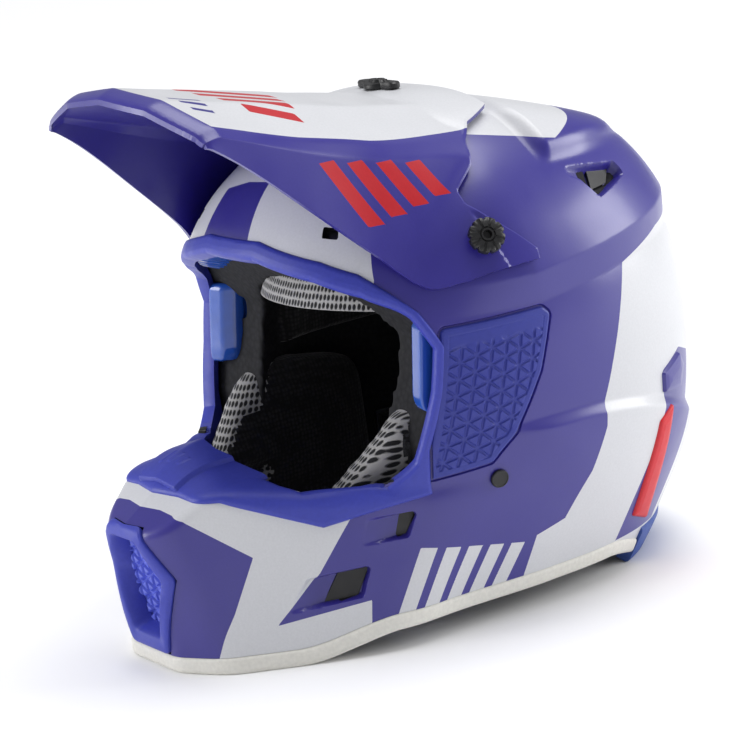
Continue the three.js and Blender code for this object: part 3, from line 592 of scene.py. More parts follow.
def glossy(name, color):
    """Clear glossy plastic, faintly wavy from the mould."""
    shader = Shader(name, color, 0.16, Coat_Weight=0.5, Coat_Roughness=0.06)
    shader.mottle(120, 0.06)
    shader.vary_roughness(80, 0.12, 0.22)
    shader.bump(shader.noise(90, 1.0), 0.00012)
    return shader.material


def metal(name, color, roughness):
    """Brushed steel."""
    shader = Shader(name, color, roughness, Metallic=1.0)
    stretched = shader.node("ShaderNodeMapping", Vector=shader.coordinates)
    stretched.inputs["Scale"].default_value = (1, 12, 1)
    shader.mottle(300, 0.06)
    shader.vary_roughness(150, roughness - 0.06, roughness + 0.1)
    shader.bump(shader.noise(500, 4.0, stretched.outputs["Vector"]), 0.00002)
    return shader.material


def foam(name, color):
    """Expanded foam: shallow round beads."""
    shader = Shader(name, color, 0.85, Specular_IOR_Level=0.3)
    beads = shader.node("ShaderNodeTexVoronoi", Vector=shader.coordinates, Scale=330.0)
    shader.tint(shader.ranged(beads.outputs["Distance"], 0, 0.8, 0, 1),
                [c * 0.7 for c in color], [min(1, c * 1.25) for c in color])
    shader.bump(beads.outputs["Distance"], 0.0004, 0.8)
    return shader.material


def weave_fabric(name, color, per_metre=700.0, depth=0.00025):
    """Brushed knit: short raised dashes in offset rows, lighter on top and darker in the low gaps
    between them: painted highlight and painted shade that follow the height.
    """
    shader = Shader(name, color, 0.95, Specular_IOR_Level=0.2, Sheen_Weight=0.25)
    cells = shader.node("ShaderNodeTexVoronoi", Vector=shader.coordinates, Scale=per_metre)
    cells.inputs["Randomness"].default_value = 0.35
    height = shader.ranged(cells.outputs["Distance"], 0.1, 0.6, 1, 0)
    # painted light: the low gaps are darkened as painted shade and the raised dashes lightened as
    # painted highlight
    shader.tint(height, [min(1, c * 1.6) for c in color], [c * 0.45 for c in color])
    shader.bump(height, depth)
    return shader.material


def mesh_fabric(name, thread, hole, pitch=0.0023):
    """Spacer mesh: rows of oval holes between raised threads, laid out on the weave map. The holes take
    the near-black hole colour as painted shade of their depth.
    """
    shader = Shader(name, thread, 0.85, Specular_IOR_Level=0.25, Sheen_Weight=0.3)
    place = shader.node("ShaderNodeUVMap")
    place.uv_map = "weave"
    mapping = shader.node("ShaderNodeMapping", Vector=place.outputs["UV"])
    mapping.inputs["Scale"].default_value = (1 / pitch, 0.62 / pitch, 1)
    cells = shader.node("ShaderNodeTexVoronoi", Vector=mapping.outputs["Vector"], Scale=1.0)
    cells.voronoi_dimensions = "2D"
    cells.inputs["Randomness"].default_value = 0.12
    thread_share = shader.ranged(cells.outputs["Distance"], 0.3, 0.42, 0, 1)
    # painted shade: the holes are filled with the dark hole colour
    shader.tint(thread_share, thread, hole)
    shader.bump(thread_share, 0.0008)
    fibres = shader.noise(2400, 2.0)
    shader.bump(fibres, 0.00008)
    return shader.material


SHELL_PURPLE = painted("shell_purple", srgb(46, 38, 134), 0.42, 0.5)
SHELL_WHITE = painted("shell_white", srgb(208, 209, 213), 0.38)
VISOR_PURPLE = painted("visor_purple", srgb(44, 36, 134), 0.4, 0.5)
GRAPHIC_RED = painted("graphic_red", srgb(186, 8, 26), 0.42)
GRAPHIC_BLUE = painted("graphic_blue", srgb(44, 38, 128), 0.38)
TRIM_RUBBER = rubber("trim_rubber", srgb(58, 66, 168), 0.42)
PANEL_RUBBER = rubber("panel_rubber", srgb(50, 58, 146), 0.46)
BASE_RUBBER = rubber("base_rubber", srgb(228, 226, 218), 0.5)
BLACK_PLASTIC = moulded("black_plastic", srgb(22, 22, 24), 0.4)
CLEAR_BLUE = glossy("clear_blue", srgb(40, 84, 178))
REAR_BLUE = rubber("rear_blue", srgb(54, 82, 156), 0.5)
RED_PLASTIC = moulded("red_plastic", srgb(205, 18, 34), 0.42)
FOAM = foam("liner_foam", srgb(38, 38, 41))
GRILLE_RUBBER = rubber("grille_rubber", srgb(92, 104, 208), 0.42)
# SMOOTH_FABRIC, LINING and WEBBING carry painted shade in the low gaps of their knit and a painted
# highlight on its raised dashes.
SMOOTH_FABRIC = weave_fabric("smooth_fabric", srgb(70, 70, 73), 1500.0, 0.00005)
# The mesh's near-black hole colour is painted shade inside its holes.
MESH_FABRIC = mesh_fabric("mesh_fabric", srgb(176, 174, 172), srgb(26, 26, 28))
LINING = weave_fabric("lining", srgb(44, 43, 45), 420.0)
WEBBING = weave_fabric("webbing", srgb(24, 24, 26), 900.0)
STEEL = metal("steel", srgb(186, 188, 192), 0.28)

CAD_LOOKS = {
    "shell_paint": SHELL_PURPLE, "visor_plastic": VISOR_PURPLE, "trim_rubber": TRIM_RUBBER,
    "base_edge": BASE_RUBBER, "black_plastic": BLACK_PLASTIC, "blue_plastic": CLEAR_BLUE,
    "red_plastic": RED_PLASTIC, "foam": FOAM, "lining": LINING, "webbing": WEBBING, "steel": STEEL,
}


def dress_cad_nodes():
    """Give every CAD node its slot's finish."""
    for entry in frame["record"]["subparts"]:
        thing = bpy.data.objects.get(entry["node"])
        look = CAD_LOOKS.get(entry.get("material_slot"))
        if thing is not None and look is not None:
            for slot in thing.material_slots:
                slot.material = look


# ------------------------------------------------------------------ outer shell

SHELL_WALL = 4.0
SHELL_EDGE_Z = 8.5
CHIN_PANEL = mirrored([(14.6, 82.4), (25.3, 81.3), (31.7, 78.8), (50.7, 56.8), (46.3, 29.8),
                       (42.5, 13), (36, -12)])
CHIN_WHITE = [(-260, 130), (-40, 130), (-76, 82), (-84, 69.5), (-100, 45.1), (-121.5, 21.5),
              (-81, 28.4), (-84, 8.4), (-84, -30), (-260, -30)]
BROW_WHITE = mirrored([(62, 260), (77.5, 199), (83, 185), (86, 170)])
BROW_PATCH = [(-30, 190), (14.8, 190), (14.8, 197), (3.7, 227.6), (-14, 226.5), (-33, 222)]
CROWN_WHITE = [(-90, 330), (-90, 246), (16, 242), (56, 234.2), (77, 240.5), (104, 249), (112, 330)]
REAR_WHITE = [(72.7, 169), (109.5, 179.5), (210, 190), (210, -40), (0, -40), (2.9, 20.4),
              (7.8, 41.3), (24.8, 46.1), (38.5, 69), (46.1, 91.4), (46, 100.5), (60.7, 137.4)]
REAR_FRAME = [(96, 94), (95, 107), (115, 114), (130, 108), (130, 84), (104, 20), (66, 20), (84, 62)]
SIDE_STRIPES_Z = (17.0, 54.0)
SIDE_STRIPES_Y = (-72.0, -6.0)


def chin_paint(p):
    white = outline_distance(p[..., 1], p[..., 2], CHIN_WHITE)
    panel = outline_distance(p[..., 0], p[..., 2], CHIN_PANEL)
    return np.minimum(white, np.where(p[..., 1] < -95, -panel, 1e3))


def brow_paint(p):
    white = outline_distance(p[..., 0], p[..., 2], BROW_WHITE)
    patch = outline_distance(p[..., 0], p[..., 2], BROW_PATCH, 1.5)
    return np.where(p[..., 1] < -20, np.minimum(white, -patch), FAR_OUTSIDE)


def crown_paint(p):
    return outline_distance(p[..., 1], p[..., 2], CROWN_WHITE)


def rear_paint(p):
    white = outline_distance(p[..., 1], p[..., 2], REAR_WHITE)
    frame_strip = outline_distance(p[..., 1], p[..., 2], REAR_FRAME)
    strip = np.minimum(frame_strip, np.abs(p[..., 0]) - 62)
    return np.minimum(white, -strip)


def side_stripes(p):
    """Five slanted bars low on the side."""
    y, z = p[..., 1], p[..., 2]
    low, high = SIDE_STRIPES_Z
    high = high - 0.2 * (y - SIDE_STRIPES_Y[0])
    low = low - 0.05 * (y - SIDE_STRIPES_Y[0])
    along = y - (z - low) * 0.42
    start, end = SIDE_STRIPES_Y
    pitch = (end - start) / 5
    place = (along - start) / pitch
    within = (0.5 - np.abs((place % 1) - 0.36) - 0.18) * pitch
    inside = np.minimum(np.minimum(place, 5 - place) * pitch, np.minimum(z - low, high - z))
    return np.minimum(within, inside)


PAINTS = [chin_paint, brow_paint, crown_paint, rear_paint, side_stripes]

MOUTH_OUTER = mirrored([(14, 76), (29, 50), (17, 9)])
MOUTH_INNER = mirrored([(11, 70), (23, 49), (12.5, 16)])
SIDE_PANEL = [(-38, 158.5), (15, 160), (19, 156), (9, 129), (-7, 102), (-20, 88), (-52, 84)]
CHIN_VENTS = [[(-67, 57), (-64, 69), (-57, 69), (-62, 58.5)],
              [(-96, 29), (-88, 43), (-80, 43.5), (-86, 31)]]
CHIN_POCKETS = [[(-82, 55), (-78, 69), (-56, 70.5), (-61, 57)],
                [(-118, 26), (-106, 43), (-78, 46), (-84, 30)]]
REAR_VENT = [(74.5, 215.7), (87.4, 213), (82, 208.3), (71.5, 208)]
BROW_VENT = [(54, 210), (61, 209), (63.5, 204), (56, 205)]
REAR_FLARE = [(44, 222), (92, 216), (96, 209), (68, 202.5), (60, 213)]
FAR_OUTSIDE = -50.0


def vent_holes(p):
    """Distance outside every vent hole and the mouth."""
    x, y, z = np.abs(p[..., 0]), p[..., 1], p[..., 2]
    holes = [outline_distance(y, z, vent, 1.2) for vent in CHIN_VENTS]
    holes.append(outline_distance(y, z, REAR_VENT, 0.8))
    brow = outline_distance(x, z, BROW_VENT, 0.5)
    holes.append(np.where(y < -40, brow, FAR_OUTSIDE))
    mouth = outline_distance(p[..., 0], z, MOUTH_OUTER)
    holes.append(np.where(y < -110, mouth, FAR_OUTSIDE))
    return -np.maximum.reduce(holes)


def rear_flare(p):
    """Inside the hollow that leads to the rear vent."""
    return outline_distance(p[..., 1], p[..., 2], REAR_FLARE, 2.5)


def panel_seat(p):
    """The shallow seat of the side panel, a little larger than the panel."""
    seat = outline_distance(p[..., 1], p[..., 2], SIDE_PANEL, 3) + 1.3
    return np.where(np.abs(p[..., 0]) > 60, seat, FAR_OUTSIDE)


def pocket_depth(p):
    """How far the surface is sunk around the vents."""
    y, z = p[..., 1], p[..., 2]
    depth = np.zeros(p.shape[:-1])
    for pocket, front in zip(CHIN_POCKETS, (-82, -118)):
        inside = outline_distance(y, z, pocket, 2)
        slope = smooth_step(y, front, front + 22)
        depth = np.maximum(depth, 5.0 * slope * smooth_step(inside, 0, 1.6))
    toward = smooth_step(y + 0.6 * (220 - z), 46, 82)
    depth = np.maximum(depth, 7 * toward * smooth_step(rear_flare(p), 0, 2.2))
    around = panel_seat(p)
    return np.maximum(depth, 1.1 * smooth_step(around, 0, 0.6))


def shell_surface():
    columns, rows = ((860, 400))
    turn = np.linspace(0, 2 * np.pi, columns, endpoint=False)
    azimuth = turn - 0.35 * np.sin(turn)
    elevation = np.radians(np.linspace(-42, 89.2, rows))
    az, el = np.meshgrid(azimuth, elevation)
    direction = np.stack([np.sin(az) * np.cos(el), -np.cos(az) * np.cos(el), np.sin(el)], -1)
    points = cast(CAST_CENTRE, direction).reshape(-1, 3)
    top = cast(CAST_CENTRE, np.array([[0, 0, 1.0]]))
    triangles = grid_triangles(rows, columns, wrap=True)
    ring = (rows - 1) * columns + np.arange(columns)
    cap = np.stack([ring, np.roll(ring, -1), np.full(columns, len(points))], -1)
    return np.concatenate([points, top]), np.concatenate([triangles, cap])


def build_shell(surface):
    trimmed = trim(surface, lambda p: p[..., 2] - base_line(p) - SHELL_EDGE_Z)
    trimmed = trim(trimmed, lambda p: -eyeport(p) + 0.6)
    trimmed = split(trimmed, vent_holes, (3.0, 1.5))
    trimmed = split(trimmed, rear_flare, (0.05, 1.1, 2.2))
    trimmed = split(trimmed, panel_seat, (0.05, 0.6))
    for pocket in CHIN_POCKETS:
        def in_pocket(p):
            return outline_distance(p[..., 1], p[..., 2], pocket, 2)

        trimmed = split(trimmed, in_pocket, (0.05, 1.6))
    trimmed = trim(trimmed, vent_holes)
    for field in PAINTS:
        trimmed = split(trimmed, field)
    points, triangles = trimmed
    centre = points[triangles].mean(1)
    index = np.zeros(len(triangles), int)
    for field in PAINTS:
        index[field(centre) > 0] = 1
    normal = form_normal(points)
    shown = points - normal * pocket_depth(points)[:, None]
    body, faces = closed_sheet(shown, triangles, shown - normal * SHELL_WALL)
    index = np.concatenate([index, np.full(len(faces) - len(index), 2)])
    build_mesh("shell_painted", body, faces, "helmet", "shell_paint",
               [SHELL_PURPLE, SHELL_WHITE, BLACK_PLASTIC], ["outer_shell"], index)


# ------------------------------------------------------------------ eyeport trim

def trim_outer(p):
    """Inside the trim's outer edge: the eyeport, widened over the chin bar's rim."""
    wing = outline_distance(p[..., 0], p[..., 2], CHIN_WING)
    wing = np.minimum(wing, -49 - p[..., 1])
    return np.maximum(eyeport(p) - 0.3, wing)


def trim_width(p):
    """The lip's width, which narrows down the sides of the eyeport."""
    return 9.0 - 4.2 * smooth_step(np.abs(p[..., 0]), 80, 97)


def inside_lip(p):
    """Distance from the lip's free edge: the eyeport's sides and brow, or the chin bar's rim."""
    return np.maximum(trim_width(p) - sides_and_brow(p), chin_rim(p) + 0.4)


def build_eyeport_trim(surface):
    near = trim(surface, trim_outer)
    near = trim(near, inside_lip)
    near = split(near, trim_outer, (0.4, 1.0, 2.0))
    near = split(near, inside_lip, (0.8, 2.0, 4.0))
    points, triangles = near
    normal = form_normal(points)
    outer = profile(trim_outer(points), [(0, 0.2), (0.4, 1.1), (1.0, 1.6), (2.0, 1.9)])
    inner = profile(inside_lip(points), [(0, -2.2), (0.8, -1.0), (2, -0.3), (4, 0)])
    shown = points + normal * (outer + inner)[:, None]
    body, faces = closed_sheet(shown, triangles, points - normal * 6.5)
    build_mesh("eyeport_trim_lip", body, faces, "helmet", "trim_rubber", [TRIM_RUBBER],
               ["eyeport_trim"], sharp=40)


# ------------------------------------------------------------------ visor

VISOR_FREE = [
    (-150.0, [(0, 290.4), (36, 287), (66, 276.6), (71, 273), (73, 270)]),
    (-140.0, [(0, 289), (38, 285), (69, 274.6), (74, 270.5), (75.5, 266)]),
    (-122.0, [(0, 285.5), (40, 281.2), (71, 269.6), (76, 265), (77.5, 254)]),
    (-90.0, [(0, 279.5), (43, 275), (74.2, 260), (78.4, 254), (84, 226)]),
    (-60.0, [(0, 273.8), (44, 269), (75.4, 253.5), (80.5, 245), (91.5, 198)]),
    (-42.0, [(0, 270), (44, 265), (76.6, 249), (83, 241), (101.5, 180)]),
    (-27.0, [(0, 267.4), (44, 262.5), (76.6, 247), (84.5, 239), (108, 180)]),
    (-10.0, [(0, 264.4), (44, 260), (76, 246), (86, 237), (113, 183)]),
    (14.0, [(0, 260.8), (44, 257), (75, 245), (89, 234), (117, 185)]),
    (48.0, [(0, 260), (44, 257), (74, 245), (90, 231), (119, 185)]),
]
VISOR_STAND = 6.2
VISOR_THICKNESS = 2.6
VISOR_REAR = [(12, 150), (14.5, 190), (5, 200), (-11, 215), (-11.5, 221), (2, 231), (8, 241),
              (18, 248.5), (38, 253.5), (40, 300), (160, 300), (160, 150)]


def visor_half_sections():
    """Half sections of the visor's outside at even steps along Y, from roof middle to lip."""
    stations = np.array([y for y, _ in VISOR_FREE])
    corners = np.array([section for _, section in VISOR_FREE], float)
    step = 1.0
    places = np.arange(stations[0], stations[-1] + 0.1, step)
    flat = np.stack([smooth_through(stations, corners[:, k, c], places)
                     for k in range(5) for c in range(2)], -1).reshape(len(places), 5, 2)
    return places, flat


def smooth_through(x, y, places):
    """A curve through the points whose slope at each is the mean of its neighbours' slopes."""
    slope = np.diff(y) / np.diff(x)
    tangent = np.concatenate([[slope[0]], (slope[1:] + slope[:-1]) / 2, [slope[-1]]])
    which = clamp(np.searchsorted(x, places) - 1, 0, len(x) - 2).astype(int)
    width = x[which + 1] - x[which]
    t = (places - x[which]) / width
    return ((2 * t ** 3 - 3 * t ** 2 + 1) * y[which] + (t ** 3 - 2 * t ** 2 + t) * width * tangent[which]
            + (3 * t ** 2 - 2 * t ** 3) * y[which + 1] + (t ** 3 - t ** 2) * width * tangent[which + 1])


def visor_surface():
    places, sections = visor_half_sections()
    per_part = [(12, 9, 3, 22), (36, 26, 8, 70)][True]
    rows = []
    for y, corners in zip(places, sections):
        half = [corners[0]]
        for k, count in enumerate(per_part):
            for share in np.arange(1, count + 1) / count:
                half.append(corners[k] * (1 - share) + corners[k + 1] * share)
        half = np.array(half)
        rows.append(np.stack([half[:, 0], np.full(len(half), y), half[:, 1]], -1))
    half = np.array(rows)
    near = smooth_step(half[..., 1], -58, -40)
    wall = sum(per_part[:3])
    standing = side_point(half[:, wall:, 1], half[:, wall:, 2])[..., 0] + VISOR_STAND
    half[:, wall:, 0] = smooth_max(half[:, wall:, 0], standing, 5.0)
    roof_floor = top_point(half[:, :wall, 0], half[:, :wall, 1])[..., 2] + VISOR_STAND
    roof_floor = np.where(near[:, :wall] > 0, roof_floor, 0)
    half[:, :wall, 2] = np.maximum(half[:, :wall, 2], roof_floor)
    other = half[:, :0:-1].copy()
    other[..., 0] *= -1
    full = np.concatenate([other, half], 1)
    full = fair(full, 3)
    rows_count, columns = full.shape[:2]
    return full.reshape(-1, 3), grid_triangles(rows_count, columns)


def fair(grid, passes):
    """Round the creases across each section a little."""
    for _ in range(passes):
        grid = grid.copy()
        grid[:, 1:-1] = 0.25 * grid[:, :-2] + 0.5 * grid[:, 1:-1] + 0.25 * grid[:, 2:]
    return grid


def visor_rear_cut(p):
    return -outline_distance(p[..., 1], p[..., 2], VISOR_REAR, 2.5)


def visor_front_cut(p):
    """Behind the bowed front edge."""
    return p[..., 1] + 147.5 - 0.0019 * p[..., 0] ** 2


def visor_white(p):
    """The pale roof between the chamfers, behind the front rim."""
    x, y = np.abs(p[..., 0]), p[..., 1]
    edge = np.interp(y, [-150, -136, -109, -85, -46, -4, 30], [50, 70, 73, 75, 76.5, 76, 75])
    rim = visor_front_cut(p) - 9
    return np.minimum(edge - x - 1.5, rim)


def bars(u, v, count, pitch, width, length, slant):
    """Slanted bars: distance inside the nearest of a row of parallelograms."""
    along = u - v * slant
    place = clamp(np.round(along / pitch), 0, count - 1)
    across = width / 2 - np.abs(along - place * pitch)
    reach = length / 2 * (1 - 0.16 * place)
    return np.minimum(across, reach - np.abs(v))


OFF_FACE = -20.0


def visor_side_bars(p):
    y, z = p[..., 1], p[..., 2]
    inside = bars(y + 66, z - 229, 4, 14, 8.5, 34, -0.55)
    return np.where(z < 252, inside, OFF_FACE)


def visor_roof_bars(p):
    x, y = p[..., 0], p[..., 1]
    return np.where(p[..., 2] > 250, bars(x - 10, y + 84, 4, 14, 8, 46, 0.4), OFF_FACE)


def visor_small_bars(p):
    x, y = p[..., 0], p[..., 1]
    return np.where(p[..., 2] > 255, bars(x - 34, y + 121, 3, 8, 3, 14, 0.4), OFF_FACE)


def screw_seat(p):
    """Depth of the shallow seat round the side screw."""
    y, z = p[..., 1], p[..., 2]
    behind = smooth_step(y + 10.5 - 0.28 * (208 - z), 0, 1.2)
    return 1.3 * behind * (1 - smooth_step(z, 206, 212))


def grid_normals(points, triangles):
    normal = np.zeros_like(points)
    face = np.cross(points[triangles[:, 1]] - points[triangles[:, 0]],
                    points[triangles[:, 2]] - points[triangles[:, 0]])
    for k in range(3):
        np.add.at(normal, triangles[:, k], face)
    return normal / np.maximum(np.linalg.norm(normal, axis=1, keepdims=True), 1e-9)


def build_visor():
    surface = visor_surface()
    points, triangles = surface
    if (grid_normals(points, triangles) * (points - [0, -50, 180])).sum(1).mean() < 0:
        triangles = triangles[:, ::-1]
    surface = trim((points, triangles), visor_rear_cut)
    surface = trim(surface, visor_front_cut)
    surface = split(surface, visor_front_cut, (1.0, 2.5, 5.0, 9.0))
    surface = split(surface, visor_rear_cut, (0.8,))
    for field in (visor_white, visor_side_bars, visor_roof_bars, visor_small_bars):
        surface = split(surface, field)
    points, triangles = surface
    centre = points[triangles].mean(1)
    index = np.zeros(len(triangles), int)
    for field, slot in ((visor_white, 1), (visor_side_bars, 2), (visor_roof_bars, 2),
                        (visor_small_bars, 3)):
        index[field(centre) > 0] = slot
    normal = grid_normals(points, triangles)
    lip = profile(visor_front_cut(points), [(0, 0.9), (1.0, 0.25), (2.5, 0)])
    tuck = profile(visor_rear_cut(points), [(0, 0.5), (0.8, 0)])
    ahead = clamp(visor_front_cut(points) / 9, 0, 1)
    points = points - normal * (lip + tuck + screw_seat(points))[:, None]
    points[:, 2] -= 4.5 * (1 - ahead) ** 1.3 * smooth_step(points[:, 2], 262, 272)
    body, faces = closed_sheet(points, triangles, points - normal * VISOR_THICKNESS)
    index = np.concatenate([index, np.zeros(len(faces) - len(index), int)])
    build_mesh("visor_shell", body, faces, "visor", "visor_plastic",
               [VISOR_PURPLE, SHELL_WHITE, GRAPHIC_RED, GRAPHIC_BLUE], ["visor"], index, sharp=30)


# ------------------------------------------------------------------ patches on the shell

def window(low, high, pitch):
    """An even grid over a rectangle of two coordinates."""
    counts = [max(3, int((b - a) / pitch) + 1) for a, b in zip(low, high)]
    u, v = np.meshgrid(*(np.linspace(a, b, n) for a, b, n in zip(low, high, counts)), indexing="ij")
    return u, v, grid_triangles(*counts)


def side_patch(low, high, pitch):
    """Part of the shell's left side over a window in (y, z)."""
    y, z, triangles = window(low, high, pitch)
    return side_point(y, z).reshape(-1, 3), triangles


def front_patch(low, high, pitch):
    """Part of the shell's front over a window in (x, z)."""
    x, z, triangles = window(low, high, pitch)
    return front_point(x, z).reshape(-1, 3), triangles[:, ::-1]


def triangle_lattice(u, v, pitch):
    """Distance to the nearest line of a lattice of equal triangles."""
    row = pitch * math.sqrt(3) / 2
    lines = [v / row, (u + v / math.sqrt(3)) / pitch, (u - v / math.sqrt(3)) / pitch]
    gaps = [np.abs(line - np.round(line)) * row for line in lines]
    return np.minimum(np.minimum(gaps[0], gaps[1]), gaps[2])


FINE_PITCH = 0.5


def build_side_panels():
    """Rubber panels with a pressed lattice of triangles and a plain border."""
    def inside(p):
        return outline_distance(p[..., 1], p[..., 2], SIDE_PANEL, 3)

    def lattice(p):
        y, z = p[..., 1], p[..., 2]
        return triangle_lattice(z + 0.25 * y, y - 0.25 * z, 8.6)

    surface = trim(side_patch((-48, 84), (22, 162), FINE_PITCH), inside)
    surface = split(surface, inside, (0.7, 1.6, 3.4, 4.2))
    surface = split(surface, lattice, (0.45, 1.0))
    points, triangles = surface
    normal = form_normal(points)
    border = profile(inside(points), [(0, -0.6), (0.7, 0.9), (1.6, 1.3), (3.4, 1.3), (4.2, 0.7)])
    groove = profile(lattice(points), [(0, 0.9), (0.45, 0.75), (1.0, 0)])
    field = smooth_step(inside(points), 3.4, 4.4)
    top_band = smooth_step(points[:, 2] - 0.03 * points[:, 1], 148, 151)
    height = border + field * (1 - top_band) * (0.75 - groove) + 0.5 * field * top_band
    body, faces = closed_sheet(points + normal * height[:, None], triangles, points - normal * 0.9)
    build_pair("side_lattice_panel", body, faces, ON_HELMET, "trim_rubber", [PANEL_RUBBER],
               "side_panel", sharp=28)


def build_nose_guard():
    """The raised guard in the middle of the chin bar's top, cast finely from below it."""
    columns, rows = ((240, 180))
    az, el = np.meshgrid(np.radians(np.linspace(-24, 24, columns)),
                         np.radians(np.linspace(0, 17, rows)), indexing="ij")
    direction = np.stack([np.sin(az) * np.cos(el), -np.cos(az) * np.cos(el), np.sin(el)], -1)
    points = cast(CAST_CENTRE, direction).reshape(-1, 3)

    def inside(p):
        return outline_distance(p[..., 0], p[..., 1], NOSE_GUARD, 1.5)

    surface = trim((points, grid_triangles(columns, rows)), inside)
    surface = trim(surface, lambda p: -eyeport(p) + 2.5)
    surface = split(surface, inside, (0.6, 1.6, 4.0, 5.5))
    points, triangles = surface
    normal = form_normal(points)
    height = profile(inside(points), [(0, 0.2), (0.6, 1.3), (1.6, 1.7), (4.0, 1.9), (5.5, 1.9)])
    block = smooth_step(17.6 + 0.12 * (points[:, 1] + 144) - np.abs(points[:, 0]), -0.6, 1.4)
    height = height + 2.4 * block * smooth_step(inside(points), 0, 1.2)
    height = height + 0.3 * guard_ribs(points)
    body, faces = closed_sheet(points + normal * height[:, None], triangles, points - normal * 0.3)
    build_mesh("nose_guard_block", body, faces, "helmet", "trim_rubber", [TRIM_RUBBER],
               ["nose_guard"], sharp=28)


NOSE_GUARD = [(-41, -96), (-41, -135), (-17.6, -144.5), (17.6, -144.5), (41, -135), (41, -96)]


def guard_ribs(p):
    """Three slanted low bars on the guard's face."""
    x, y = p[..., 0], p[..., 1]
    return smooth_step(bars(x + 6, y + 131, 3, 6.5, 3.4, 9, 0.4), 0, 0.8)


# ------------------------------------------------------------------ loops and lofts

def rounded_loop(points, radius, arc=5, straight=7):
    """A closed outline with rounded corners and the same number of points for every edge."""
    points = np.array(points, float)
    loop = []
    total = len(points)
    for i, corner in enumerate(points):
        to_before = points[i - 1] - corner
        to_after = points[(i + 1) % total] - corner
        back = corner + to_before * min(radius / np.linalg.norm(to_before), 0.45)
        ahead = corner + to_after * min(radius / np.linalg.norm(to_after), 0.45)
        for share in np.linspace(0, 1, arc):
            loop.append((1 - share) ** 2 * back + 2 * share * (1 - share) * corner + share ** 2 * ahead)
        following = points[(i + 1) % total]
        to_here = corner - following
        end = following + to_here * min(radius / np.linalg.norm(to_here), 0.45)
        for share in np.linspace(0, 1, straight + 2)[1:-1]:
            loop.append(ahead * (1 - share) + end * share)
    return np.array(loop)


def loft(rings, close_ring=False):
    """Faces between rings of equal point counts, closed on itself or with fans over the ends."""
    rings = np.array(rings, float)
    count, size = rings.shape[:2]
    points = rings.reshape(-1, 3)
    triangles = grid_triangles(count, size, wrap=True)
    if close_ring:
        last = (count - 1) * size + np.arange(size)
        first = np.arange(size)
        after = np.roll(first, -1)
        triangles = np.concatenate([triangles, np.stack([last, np.roll(last, -1), after], -1),
                                    np.stack([last, after, first], -1)])
    else:
        ends = [rings[0].mean(0), rings[-1].mean(0)]
        first = np.arange(size)
        last = (count - 1) * size + first
        low, high = len(points), len(points) + 1
        triangles = np.concatenate([
            triangles, np.stack([np.roll(first, -1), first, np.full(size, low)], -1),
            np.stack([last, np.roll(last, -1), np.full(size, high)], -1)])
        points = np.concatenate([points, ends])
    return outward(points, triangles)


def outward(points, triangles):
    """Turn a closed body's faces outwards."""
    a, b, c = (points[triangles[:, k]] for k in range(3))
    volume = (a * np.cross(b, c)).sum()
    return points, triangles if volume > 0 else triangles[:, ::-1]


def build_mouth_vent():
    """The deep rubber frame of the mouth vent and the relief grille at its back."""
    def ring(outline, inset, proud, radius):
        loop = rounded_loop(grow(outline, -inset), radius)
        surface = front_point(loop[:, 0], loop[:, 1])
        return surface + form_normal(surface) * proud

    stack = [(MOUTH_OUTER, 0.3, -9, 3), (MOUTH_OUTER, 0.3, 0.4, 3), (MOUTH_OUTER, 0.5, 1.3, 3),
             (MOUTH_OUTER, 1.3, 1.9, 3), (MOUTH_OUTER, 3.0, 1.9, 3), (MOUTH_INNER, -0.2, 1.5, 3),
             (MOUTH_INNER, 0.7, 0.6, 3), (MOUTH_INNER, 1.6, -1.4, 3), (MOUTH_INNER, 3.6, -7.5, 3),
             (MOUTH_INNER, 3.9, -9, 3)]
    rings = [ring(*entry) for entry in stack]
    body, faces = loft(rings, close_ring=True)
    build_mesh("mouth_frame", body, faces, "helmet", "trim_rubber", [TRIM_RUBBER],
               ["mouth_vent_frame"], sharp=40)

    def inside(p):
        return outline_distance(p[..., 0], p[..., 2], grow(MOUTH_INNER, -3.0), 2)

    def lattice(p):
        return triangle_lattice(p[..., 2] + 2, p[..., 0] + 3.9, 9.0)

    surface = trim(front_patch((-24, 12), (24, 72), FINE_PITCH), inside)
    surface = split(surface, lattice, (0.5, 1.3))
    points, triangles = surface
    normal = form_normal(points)
    height = profile(lattice(points), [(0, -9.6), (0.5, -9.3), (1.3, -7.6), (2.6, -7.0)])
    body, faces = closed_sheet(points + normal * height[:, None], triangles, points - normal * 11)
    build_mesh("mouth_grille", body, faces, "helmet", "trim_rubber", [GRILLE_RUBBER],
               ["mouth_vent_grille"], sharp=28)


